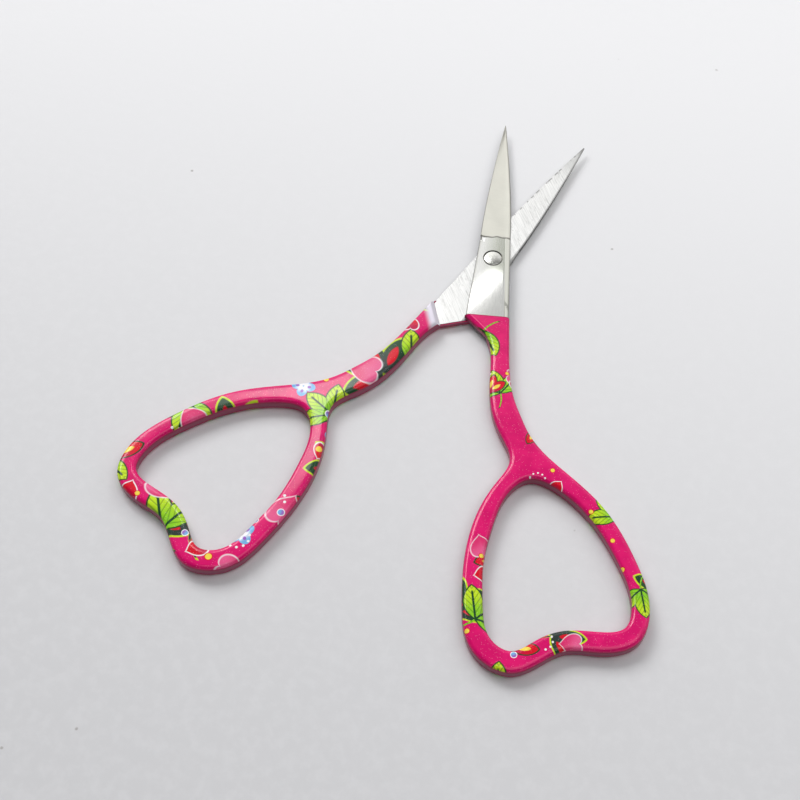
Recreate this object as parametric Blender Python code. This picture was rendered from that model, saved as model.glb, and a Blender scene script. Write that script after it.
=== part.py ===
"""Fine-point embroidery scissors with printed heart-shaped bows, in metres.

Two ground steel halves cross at a rivet. They are one forging used twice: the rear half is the
front half turned over about the line of the blades. A lacquer coat wraps each handle as a thin
shell and stops at the joint, where the steel is bare.

Frame: the pivot's axis is the world Z axis, the table is z = 0, and +Y halves the open angle
between the blades. A half is drawn in its own frame: the pivot at the origin, the blade along
+Y, the bow towards +X, and z = 0 on the plane where the two halves slide.
"""
import math

import bmesh
import bpy
import numpy as np
from mathutils import Vector

MM = 0.001

# ---- driving sizes, in millimetres -------------------------------------------------------
OPEN_ANGLE = 27.9            # degrees between the blades as modelled
HANDLE_THICKNESS = 2.5       # through the coat, and the height of the whole part
LAP_CLEARANCE = 0.12         # between the two ground inner faces
COAT_THICKNESS = 0.2         # primer, printed film and clear lacquer
BOND_CLEARANCE = 0.1         # drawn between the coat and the steel that it is bonded to
COAT_PROUD = 0.15            # the coat stands above the bare joint by this

BLADE_LENGTH = 29.9          # pivot to tip
PIVOT_TO_GRIND = 4.4         # pivot to the step where the hollow grind begins
BLADE_EDGE_ROOT = 2.6        # pivot line to the cutting edge, at the grind's step
BLADE_SPINE_ROOT = 2.35      # pivot line to the spine, at the grind's step
BLADE_TIP_EDGE = 0.2         # the two sides of the small flat tip
BLADE_TIP_SPINE = 0.02
BLADE_EDGE_BELLY = 1.5       # how late the cutting edge curves in
BLADE_SPINE_BELLY = 1.4
BLADE_SPINE_THICKNESS = 0.95
BLADE_TIP_THICKNESS = 0.35
EDGE_BEVEL_WIDTH = 0.25      # the whetted bevel along the cutting edge
EDGE_BEVEL_HEIGHT = 0.22     # thickness at the back of the bevel
EDGE_LAND = 0.08             # thickness left at the cutting edge itself
SPINE_EASE = 0.12            # small chamfer along the spine
BEVEL_SHARE = 0.33           # near the tip a bevel takes at most this much of the width
HOLLOW_POWER = 1.7           # above 1 the outer face is hollow
BLADE_STATIONS = 14
ACROSS_FACETS = 5            # facets across the outer face of blade and joint
GRIND_STEP = 0.1             # length of the step where the grind begins

JOINT_LENGTH = 11.8          # pivot to the coat's end
JOINT_EDGE_WIDTH = 3.35      # pivot line to the edge side, at the coat's end
JOINT_SPINE_WIDTH = 3.5      # pivot line to the spine side, at the coat's end
JOINT_FALL = 0.15            # the joint's outer face falls this much towards the blade
JOINT_CHAMFER_WIDTH = 0.8
JOINT_CHAMFER_DEPTH = 0.25
JOINT_EASE = 0.15            # small chamfer on the spine side

SLANT_RUN = 3.75             # width of the slanted corner at the crotch, at 45 degrees
SHOULDER_CLEARANCE = 0.12    # corner to shoulder with the blades shut
SHOULDER_RUN = 0.9           # length of the shoulder's ramp

SHANK_LENGTH = 21.7          # crotch to neck
SHANK_WIDTH = 3.0
BAND_WIDTH = 2.7             # the bow's band, on its inner side
FINGER_HOLE_WIDTH = 21.15
FINGER_HOLE_LENGTH = 27.65
FINGER_HOLE_SIDE = 2.65      # blade's line to the hole's inner side
FINGER_HOLE_TOP = 40.7       # pivot to the hole's arch
EDGE_ROUND = 0.7             # rounding along the handle's edges
COAT_ROUND_FACETS = 3        # facets across a rounded edge of the coat
CORE_ROUND_FACETS = 1        # the hidden core has a plain chamfer instead
OUTLINE_STEP = 2.0           # longest step between the points along an outline
OUTLINE_ANGLE = 10.0         # degrees that an outline may turn in one step

RIVET_RADIUS = 0.95
RIVET_CLEARANCE = 0.05
RIVET_HEAD_RADIUS = 1.4
RIVET_HEAD_HEIGHT = 0.4
RIVET_DOME = 0.14
RIVET_TAIL_RADIUS = 1.35
RIVET_TAIL_DEPTH = 0.55
COUNTERBORE_GROOVE = 0.16    # open ring around the rivet's head
DOME_RINGS = 4
ROUND_SIDES = 32

# The finger hole: across its width, down its length, and the band's width there as a share of
# BAND_WIDTH. It runs from the arch at the neck, down the inner side and round the heart.
FINGER_HOLE = (
    (0.280, 0.000, 0.90),
    (0.138, 0.089, 0.93),
    (0.048, 0.279, 1.06),
    (0.000, 0.529, 1.06),
    (0.018, 0.761, 1.11),
    (0.100, 0.954, 1.20),
    (0.217, 0.998, 1.22),
    (0.373, 0.932, 1.17),
    (0.540, 0.865, 1.14),
    (0.780, 0.848, 1.17),
    (0.962, 0.811, 1.07),
    (1.000, 0.711, 0.97),
    (0.914, 0.471, 0.95),
    (0.700, 0.204, 1.02),
    (0.460, 0.043, 1.18),
)
# The shank: distance down it, middle line and width, as shares of SHANK_LENGTH and SHANK_WIDTH.
SHANK = (
    (0.08, 0.753, 1.050),
    (0.38, 0.951, 1.090),
    (0.52, 1.115, 1.257),
    (0.66, 1.417, 1.460),
)
# The neck, where the shank opens into the bow: (across, down) from the pivot, as shares of
# SHANK_WIDTH and FINGER_HOLE_TOP.
NECK_OUTER = ((4.64, 0.963), (3.49, 0.889), (2.61, 0.806))
NECK_INNER = ((1.25, 0.832), (1.74, 0.925))

# ---- sizes that follow from them ---------------------------------------------------------
HALF_HEIGHT = HANDLE_THICKNESS / 2
GROUND_Z = LAP_CLEARANCE / 2
COVER = COAT_THICKNESS + BOND_CLEARANCE
COAT_END_Y = -JOINT_LENGTH
JOINT_TOP = HALF_HEIGHT - COAT_PROUD
CROTCH_Y = COAT_END_Y - SLANT_RUN
COAT_SPINE_X = -JOINT_SPINE_WIDTH - COAT_PROUD
COAT_EDGE_X = JOINT_EDGE_WIDTH + COAT_PROUD
BEYOND = 3.0                 # how far a cutter runs past what it shapes
BLANK_BOTTOM = -0.5          # underside of the blank, before its inner face is ground
MITRE_RATIO = 0.5            # keeps the mitre of a very sharp corner short
SMOOTH_ANGLE = 35            # degrees; sharper edges than this show as edges


def clear_scene():
    """Remove every object that Blender starts with."""
    for item in list(bpy.data.objects):
        bpy.data.objects.remove(item, do_unlink=True)


def make_material(name, colour, roughness, metallic):
    """A plain Principled material."""
    material = bpy.data.materials.new(name)
    material.use_nodes = True
    shader = material.node_tree.nodes["Principled BSDF"]
    shader.inputs["Base Color"].default_value = (*colour, 1.0)
    shader.inputs["Roughness"].default_value = roughness
    shader.inputs["Metallic"].default_value = metallic
    return material


def make_object(name, verts, faces, material=None):
    """A mesh object from points in millimetres, its faces turned outwards."""
    mesh = bpy.data.meshes.new(name)
    mesh.from_pydata([Vector(v) * MM for v in verts], [], faces)
    bm = bmesh.new()
    bm.from_mesh(mesh)
    bmesh.ops.recalc_face_normals(bm, faces=bm.faces)
    bm.to_mesh(mesh)
    bm.free()
    item = bpy.data.objects.new(name, mesh)
    bpy.context.collection.objects.link(item)
    if material:
        mesh.materials.append(material)
    return item


def as_cutter(item):
    """Hide an object from renders, because it is only a boolean's guide."""
    item.hide_render = True
    item.display_type = "WIRE"
    return item


def combine(item, other, operation):
    """Join or cut an item with another object, which becomes a hidden guide."""
    modifier = item.modifiers.new(f"{operation.lower()} {other.name}", "BOOLEAN")
    modifier.operation = operation
    modifier.solver = "EXACT"
    modifier.object = as_cutter(other)


# ---- curves ------------------------------------------------------------------------------
def spline(knots, closed):
    """Points on a smooth cubic curve through the knots, closer together where it bends."""
    knots = np.array(knots, dtype=float)
    loop = np.vstack([knots, knots[:1]]) if closed else knots
    chord = np.hypot(*np.diff(loop, axis=0).T)
    slopes = np.diff(loop, axis=0) / chord[:, None]
    count = len(loop)
    system = np.zeros((count, count))
    right = np.zeros_like(loop)
    for i in range(1, count - 1):
        system[i, i - 1:i + 2] = chord[i], 2 * (chord[i - 1] + chord[i]), chord[i - 1]
        right[i] = 3 * (chord[i] * slopes[i - 1] + chord[i - 1] * slopes[i])
    if closed:
        system[0, [0, 1, -2]] = 2 * (chord[-1] + chord[0]), chord[-1], chord[0]
        right[0] = 3 * (chord[0] * slopes[-1] + chord[-1] * slopes[0])
        system[-1, [0, -1]] = 1, -1
    else:
        system[0, :2] = system[-1, :-3:-1] = 2, 1
        right[0], right[-1] = 3 * slopes[0], 3 * slopes[-1]
    tangents = np.linalg.solve(system, right)
    headings = np.unwrap(np.arctan2(tangents[:, 1], tangents[:, 0]))
    points = []
    for i, length in enumerate(chord):
        turn = math.degrees(abs(headings[i + 1] - headings[i]))
        pieces = max(2, math.ceil(length / OUTLINE_STEP), math.ceil(turn / OUTLINE_ANGLE))
        for t in np.arange(pieces) / pieces:
            points.append((1 - t)**2 * ((1 + 2 * t) * loop[i] + t * length * tangents[i])
                          + t**2 * ((3 - 2 * t) * loop[i + 1] - (1 - t) * length * tangents[i + 1]))
    if not closed:
        points.append(loop[-1])
    return np.array(points)


def inset(loop, distance):
    """A counterclockwise loop moved inwards, with corners mitred."""
    before = loop - np.roll(loop, 1, axis=0)
    before /= np.hypot(*before.T)[:, None]
    after = np.roll(before, -1, axis=0)
    normal_before = np.column_stack([-before[:, 1], before[:, 0]])
    normal_after = np.column_stack([-after[:, 1], after[:, 0]])
    middle = normal_before + normal_after
    scale = 2 / np.maximum((middle**2).sum(axis=1), MITRE_RATIO)
    return loop + distance * middle * scale[:, None]


# ---- the handle's outline ------------------------------------------------------------------
def finger_hole_knots():
    """Knots round the finger hole, counterclockwise from the arch at the neck."""
    return np.array([(FINGER_HOLE_SIDE + across * FINGER_HOLE_WIDTH,
                      -FINGER_HOLE_TOP - down * FINGER_HOLE_LENGTH)
                     for across, down, _ in FINGER_HOLE])


def bow_outside_knots():
    """The finger hole's knots moved out by the band's width there, without the arch's own."""
    knots = finger_hole_knots()
    along = np.roll(knots, -1, axis=0) - np.roll(knots, 1, axis=0)
    along /= np.hypot(*along.T)[:, None]
    outward = np.column_stack([along[:, 1], -along[:, 0]])
    widths = np.array([share * BAND_WIDTH for _, _, share in FINGER_HOLE])
    return (knots + outward * widths[:, None])[1:-1]


def shank_knots(side):
    """Knots down one side of the shank: 1 is the edge side and -1 the spine side."""
    return [((middle + side * width / 2) * SHANK_WIDTH, CROTCH_Y - down * SHANK_LENGTH)
            for down, middle, width in SHANK]


def neck_knots(knots):
    """Knots of the neck in millimetres, from its table of shares."""
    return [(across * SHANK_WIDTH, -down * FINGER_HOLE_TOP) for across, down in knots]


def handle_outline():
    """The coat's outline, counterclockwise: down the spine side, round the bow and back up."""
    crotch = (COAT_SPINE_X + SLANT_RUN, CROTCH_Y)
    knots = [crotch, *shank_knots(-1), *neck_knots(NECK_INNER), *bow_outside_knots(),
             *neck_knots(NECK_OUTER), *shank_knots(1)[::-1], (COAT_EDGE_X, COAT_END_Y)]
    top = COAT_END_Y + BEYOND
    corners = [(COAT_EDGE_X, top), (COAT_SPINE_X, top), (COAT_SPINE_X, COAT_END_Y)]
    return np.vstack([spline(knots, closed=False), corners])


# ---- solids --------------------------------------------------------------------------------
def plate(name, outline, hole, height, edge, segments):
    """A flat bar with a hole through it and rounded or chamfered edges.

    The outline and the hole run counterclockwise, and the bar spans -height to height.
    """
    section = []
    for k in range(segments + 1):
        turn = math.pi / 2 * k / segments
        section.append((edge * (1 - math.sin(turn)), -height + edge * (1 - math.cos(turn))))
    section += [(depth, -z) for depth, z in reversed(section)]
    bm = bmesh.new()
    rims = []
    for loop, side in ((outline, 1), (hole, -1)):
        rings = []
        for depth, z in section:
            ring = [bm.verts.new((x * MM, y * MM, z * MM)) for x, y in inset(loop, side * depth)]
            rings.append(ring)
        for lower, upper in zip(rings, rings[1:]):
            for i in range(len(loop)):
                j = (i + 1) % len(loop)
                bm.faces.new((lower[i], lower[j], upper[j], upper[i]))
        rims.append((rings[0], rings[-1]))
    for level in (0, 1):
        edges = []
        for rim in rims:
            ring = rim[level]
            edges += [bm.edges.get((ring[i], ring[i - 1])) for i in range(len(ring))]
        bmesh.ops.triangle_fill(bm, edges=edges, use_beauty=True)
    bmesh.ops.recalc_face_normals(bm, faces=bm.faces)
    mesh = bpy.data.meshes.new(name)
    bm.to_mesh(mesh)
    bm.free()
    item = bpy.data.objects.new(name, mesh)
    bpy.context.collection.objects.link(item)
    return item


def loft(name, sections, material=None):
    """A closed body through sections of equal point counts, with flat ends."""
    count = len(sections[0])
    verts = [point for section in sections for point in section]
    faces = []
    for row in range(len(sections) - 1):
        for i in range(count):
            j = (i + 1) % count
            a, b = row * count, (row + 1) * count
            faces.append((a + i, a + j, b + j, b + i))
    faces.append(tuple(range(count)))
    faces.append(tuple(range(len(verts) - count, len(verts))))
    return make_object(name, verts, faces, material)


def turned(name, profile, material=None):
    """A solid of revolution about Z, from (radius, z) rows that start and end on the axis."""
    verts = [(0, 0, profile[0][1]), (0, 0, profile[-1][1])]
    rows = []
    for radius, z in profile[1:-1]:
        rows.append(range(len(verts), len(verts) + ROUND_SIDES))
        for k in range(ROUND_SIDES):
            turn = 2 * math.pi * k / ROUND_SIDES
            verts.append((radius * math.cos(turn), radius * math.sin(turn), z))
    faces = []
    for k in range(ROUND_SIDES):
        n = (k + 1) % ROUND_SIDES
        faces.append((0, rows[0][n], rows[0][k]))
        for lower, upper in zip(rows, rows[1:]):
            faces.append((lower[k], lower[n], upper[n], upper[k]))
        faces.append((1, rows[-1][k], rows[-1][n]))
    return make_object(name, verts, faces, material)


def blade_section(y):
    """Points around the blade at y: flat underside, whetted edge, hollow face, eased spine."""
    t = (y - PIVOT_TO_GRIND) / (BLADE_LENGTH - PIVOT_TO_GRIND)
    edge = BLADE_TIP_EDGE + (BLADE_EDGE_ROOT - BLADE_TIP_EDGE) * (1 - t**BLADE_EDGE_BELLY)
    spine = BLADE_TIP_SPINE - (BLADE_SPINE_ROOT + BLADE_TIP_SPINE) * (1 - t**BLADE_SPINE_BELLY)
    back = BLADE_SPINE_THICKNESS + (BLADE_TIP_THICKNESS - BLADE_SPINE_THICKNESS) * t
    inner = edge - min(EDGE_BEVEL_WIDTH, (edge - spine) * BEVEL_SHARE)
    outer = spine + min(SPINE_EASE, (edge - spine) * BEVEL_SHARE)
    points = [(spine, y, BLANK_BOTTOM), (edge, y, BLANK_BOTTOM), (edge, y, GROUND_Z + EDGE_LAND)]
    for k in range(ACROSS_FACETS + 1):
        across = k / ACROSS_FACETS
        rise = EDGE_BEVEL_HEIGHT + (back - EDGE_BEVEL_HEIGHT) * across**HOLLOW_POWER
        points.append((inner + (outer - inner) * across, y, GROUND_Z + rise))
    points.append((spine, y, GROUND_Z + back - SPINE_EASE))
    return points


def joint_section(y, fall):
    """Points around the joint at y: flat underside, chamfered edge side, eased spine side."""
    share = (PIVOT_TO_GRIND - y) / (PIVOT_TO_GRIND + JOINT_LENGTH)
    edge = BLADE_EDGE_ROOT + (JOINT_EDGE_WIDTH - BLADE_EDGE_ROOT) * share
    spine = -BLADE_SPINE_ROOT - (JOINT_SPINE_WIDTH - BLADE_SPINE_ROOT) * share
    top = JOINT_TOP - fall
    inner = edge - JOINT_CHAMFER_WIDTH
    outer = spine + JOINT_EASE
    points = [(spine, y, BLANK_BOTTOM), (edge, y, BLANK_BOTTOM),
              (edge, y, top - JOINT_CHAMFER_DEPTH)]
    for k in range(ACROSS_FACETS + 1):
        points.append((inner + (outer - inner) * k / ACROSS_FACETS, y, top))
    points.append((spine, y, top - JOINT_EASE))
    return points


def shoulder_cutter(name, back_off):
    """What grinding the inner face takes away, up to the ramp of the shoulder.

    The shoulder mirrors the other half's slanted corner, and back_off moves it away.
    """
    along = Vector((1, 1, 0)).normalized()
    away = Vector((1, -1, 0)).normalized()
    foot = Vector((-(COAT_SPINE_X + SLANT_RUN), CROTCH_Y, 0)) + away * back_off
    reach = BLADE_LENGTH * 2
    verts = []
    for z in (GROUND_Z, -HALF_HEIGHT - BEYOND):
        ramp = away * (SHOULDER_RUN * (GROUND_Z - z) / HALF_HEIGHT)
        for side, depth in ((-1, 0), (1, 0), (1, reach), (-1, reach)):
            point = foot + ramp + along * side * reach - away * depth
            verts.append((point.x, point.y, z))
    faces = [(0, 1, 2, 3), (4, 5, 6, 7), (0, 1, 5, 4), (1, 2, 6, 5), (2, 3, 7, 6), (3, 0, 4, 7)]
    return make_object(name, verts, faces)


def above_coat_cutter(name):
    """Everything on the blade's side of the coat's end."""
    wide, far = JOINT_SPINE_WIDTH * 3, COAT_END_Y + BEYOND * 2
    high = HALF_HEIGHT + BEYOND
    verts = [(x, y, z) for z in (-high, high)
             for x, y in ((-wide, COAT_END_Y), (wide, COAT_END_Y), (wide, far), (-wide, far))]
    faces = [(0, 1, 2, 3), (4, 5, 6, 7), (0, 1, 5, 4), (1, 2, 6, 5), (2, 3, 7, 6), (3, 0, 4, 7)]
    return make_object(name, verts, faces)


def build_steel(side, outline, hole, material):
    """One steel half: blade, joint and handle core, ground flat inside as far as the shoulder."""
    sections = [joint_section(COAT_END_Y + BOND_CLEARANCE, 0),
                joint_section(PIVOT_TO_GRIND, JOINT_FALL)]
    first = PIVOT_TO_GRIND + GRIND_STEP
    for k in range(BLADE_STATIONS + 1):
        sections.append(blade_section(first + (BLADE_LENGTH - first) * k / BLADE_STATIONS))
    steel = loft(f"{side}_half", sections, material)
    core = plate(f"{side} core", inset(outline, COVER), inset(hole, -COVER),
                 HALF_HEIGHT - COVER, EDGE_ROUND - COVER, CORE_ROUND_FACETS)
    combine(steel, core, "UNION")
    combine(steel, shoulder_cutter(f"{side} ground face", SHOULDER_CLEARANCE + COVER), "DIFFERENCE")
    return steel


def build_coat(side, outline, hole, material):
    """The lacquer shell around one handle, open where the ground steel comes out."""
    coat = plate(f"{side}_handle_coat", outline, hole, HALF_HEIGHT, EDGE_ROUND,
                 COAT_ROUND_FACETS)
    coat.data.materials.append(material)
    cavity = plate(f"{side} cavity", inset(outline, COAT_THICKNESS), inset(hole, -COAT_THICKNESS),
                   HALF_HEIGHT - COAT_THICKNESS, EDGE_ROUND - COAT_THICKNESS, CORE_ROUND_FACETS)
    combine(cavity, shoulder_cutter(f"{side} cavity end", SHOULDER_CLEARANCE + COAT_THICKNESS),
            "DIFFERENCE")
    combine(coat, above_coat_cutter(f"{side} coat end"), "DIFFERENCE")
    combine(coat, shoulder_cutter(f"{side} shoulder", SHOULDER_CLEARANCE), "DIFFERENCE")
    combine(coat, cavity, "DIFFERENCE")
    return coat


def rivet_seat(side):
    """The pivot hole's cutter: a counterbore for the head, or a countersink for the tail."""
    hole = RIVET_RADIUS + RIVET_CLEARANCE
    top = JOINT_TOP + BEYOND
    if side == "front":
        seat = RIVET_HEAD_RADIUS + COUNTERBORE_GROOVE
        floor = JOINT_TOP - RIVET_HEAD_HEIGHT
        profile = [(0, -BEYOND), (hole, -BEYOND), (hole, floor), (seat, floor), (seat, top), (0, top)]
    else:
        seat = RIVET_TAIL_RADIUS + RIVET_CLEARANCE
        start = HALF_HEIGHT - RIVET_TAIL_DEPTH
        profile = [(0, -BEYOND), (hole, -BEYOND), (hole, start - RIVET_CLEARANCE),
                   (seat, HALF_HEIGHT - RIVET_CLEARANCE), (seat, top), (0, top)]
    return turned(f"{side} rivet seat", profile)


def build_rivet(material):
    """The pivot: a domed head on the front, a shank, and a flat peened tail behind."""
    under_head = JOINT_TOP - RIVET_HEAD_HEIGHT + RIVET_CLEARANCE
    rim = JOINT_TOP - JOINT_FALL
    profile = [(0, -HALF_HEIGHT), (RIVET_TAIL_RADIUS, -HALF_HEIGHT),
               (RIVET_RADIUS, -HALF_HEIGHT + RIVET_TAIL_DEPTH),
               (RIVET_RADIUS, under_head), (RIVET_HEAD_RADIUS, under_head),
               (RIVET_HEAD_RADIUS, rim)]
    for ring in range(1, DOME_RINGS):
        share = 1 - ring / DOME_RINGS
        profile.append((RIVET_HEAD_RADIUS * share, rim + RIVET_DOME * (1 - share**2)))
    profile.append((0, rim + RIVET_DOME))
    return turned("pivot_rivet", profile, material)


def place(item, side):
    """Turn a half out to the modelled opening, the rear one over as well."""
    half_angle = math.radians(OPEN_ANGLE / 2)
    item.location = (0, 0, HALF_HEIGHT * MM)
    item.rotation_euler = (0, 0, half_angle) if side == "front" else (0, math.pi, -half_angle)


def smooth(item):
    """Shade an item smooth except at its real edges."""
    item.data.shade_smooth()
    item.data.set_sharp_from_angle(angle=math.radians(SMOOTH_ANGLE))


def main():
    """Build the five solids and stand them where they belong."""
    clear_scene()
    steel_finish = make_material("bare_steel", (0.62, 0.62, 0.6), 0.28, 1.0)
    rivet_finish = make_material("rivet_steel", (0.66, 0.66, 0.64), 0.22, 1.0)
    coat_finish = make_material("printed_lacquer", (0.72, 0.03, 0.16), 0.2, 0.0)
    outline, hole = handle_outline(), spline(finger_hole_knots(), closed=True)
    for side in ("front", "rear"):
        steel = build_steel(side, outline, hole, steel_finish)
        combine(steel, rivet_seat(side), "DIFFERENCE")
        coat = build_coat(side, outline, hole, coat_finish)
        for item in (steel, coat):
            smooth(item)
            guides = [m.object for m in item.modifiers]
            guides += [m.object for guide in guides for m in guide.modifiers]
            for piece in [item] + guides:
                place(piece, side)
    rivet = build_rivet(rivet_finish)
    smooth(rivet)
    rivet.location = (0, 0, HALF_HEIGHT * MM)


main()
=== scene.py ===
"""Fine-point embroidery scissors with printed heart-shaped bows, dressed for the studio.

Two ground steel halves cross at a domed rivet. The rear half is the front one turned over about
the line of the blades. Each half is drawn in its own frame, in millimetres: the pivot at the
origin, the blade along +Y, the bow towards +X, and z = 0 on the plane where the halves slide.
"""
import logging
import math
from dataclasses import dataclass
from enum import Enum
from typing import Iterable, Sequence, Union

import bmesh
import bpy
import numpy as np
from mathutils import Matrix, Vector


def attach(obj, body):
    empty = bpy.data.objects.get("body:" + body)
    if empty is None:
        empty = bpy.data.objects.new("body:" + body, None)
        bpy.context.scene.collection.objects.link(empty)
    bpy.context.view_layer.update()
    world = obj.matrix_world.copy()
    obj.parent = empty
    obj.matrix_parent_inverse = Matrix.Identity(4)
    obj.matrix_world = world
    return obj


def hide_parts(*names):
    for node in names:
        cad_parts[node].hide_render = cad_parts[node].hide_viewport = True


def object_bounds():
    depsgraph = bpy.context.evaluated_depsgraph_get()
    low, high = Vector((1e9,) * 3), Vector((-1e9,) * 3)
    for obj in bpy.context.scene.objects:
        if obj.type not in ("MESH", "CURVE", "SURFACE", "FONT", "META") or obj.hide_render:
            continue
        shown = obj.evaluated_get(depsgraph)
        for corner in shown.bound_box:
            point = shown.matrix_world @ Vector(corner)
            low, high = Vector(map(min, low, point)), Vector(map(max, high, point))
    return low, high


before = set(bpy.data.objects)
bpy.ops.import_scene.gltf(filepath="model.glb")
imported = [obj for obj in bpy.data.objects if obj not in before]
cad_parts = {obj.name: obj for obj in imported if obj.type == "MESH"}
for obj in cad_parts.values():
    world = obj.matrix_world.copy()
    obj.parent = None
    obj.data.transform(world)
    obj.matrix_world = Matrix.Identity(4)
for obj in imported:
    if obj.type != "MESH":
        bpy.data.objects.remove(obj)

LOG = logging.getLogger("embroidery_scissors")
MM = 0.001                   # one millimetre in the scene's metres
OWN_FRAME = "own_frame"      # each vertex's place in its half's own frame, in millimetres
CAD_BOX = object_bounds()
Colour = tuple[float, float, float]
BLACK: Colour = (0.0, 0.0, 0.0)
Number = Union[float, "Field"]


# ---- node graphs -----------------------------------------------------------------------------
class Field:
    """A number that varies over a surface, with arithmetic that adds nodes to its graph."""

    def __init__(self, graph: "Graph", socket: bpy.types.NodeSocket) -> None:
        """Keep the graph and the socket that gives the number."""
        self.graph = graph
        self.socket = socket

    def __add__(self, other: Number) -> "Field":
        """Sum."""
        return self.graph.maths("ADD", self, other)

    def __sub__(self, other: Number) -> "Field":
        """Difference."""
        return self.graph.maths("SUBTRACT", self, other)

    def __rsub__(self, other: Number) -> "Field":
        """Difference from a plain number."""
        return self.graph.maths("SUBTRACT", other, self)

    def __mul__(self, other: Number) -> "Field":
        """Product."""
        return self.graph.maths("MULTIPLY", self, other)

    def __truediv__(self, other: Number) -> "Field":
        """Quotient."""
        return self.graph.maths("DIVIDE", self, other)

    def __rtruediv__(self, other: Number) -> "Field":
        """Quotient of a plain number by this."""
        return self.graph.maths("DIVIDE", other, self)

    __radd__ = __add__
    __rmul__ = __mul__

    def size(self) -> "Field":
        """The number without its sign."""
        return self.graph.maths("ABSOLUTE", self)

    def __pow__(self, exponent: float) -> "Field":
        """The number raised to a power."""
        return self.graph.maths("POWER", self, exponent)

    def ramp(self, start: float, end: float) -> "Field":
        """A smooth step.

        Args:
            start: where it is 0.
            end: where it is 1, on either side of the start.

        Returns:
            The step, held at 0 and 1 beyond its ends.
        """
        rising = start < end
        node = self.graph.node("ShaderNodeMapRange", interpolation_type="SMOOTHSTEP")
        self.graph.feed(node.inputs["Value"], self)
        node.inputs["From Min"].default_value = min(start, end)
        node.inputs["From Max"].default_value = max(start, end)
        node.inputs["To Min"].default_value = 0.0 if rising else 1.0
        node.inputs["To Max"].default_value = 1.0 if rising else 0.0
        return Field(self.graph, node.outputs["Result"])


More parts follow.
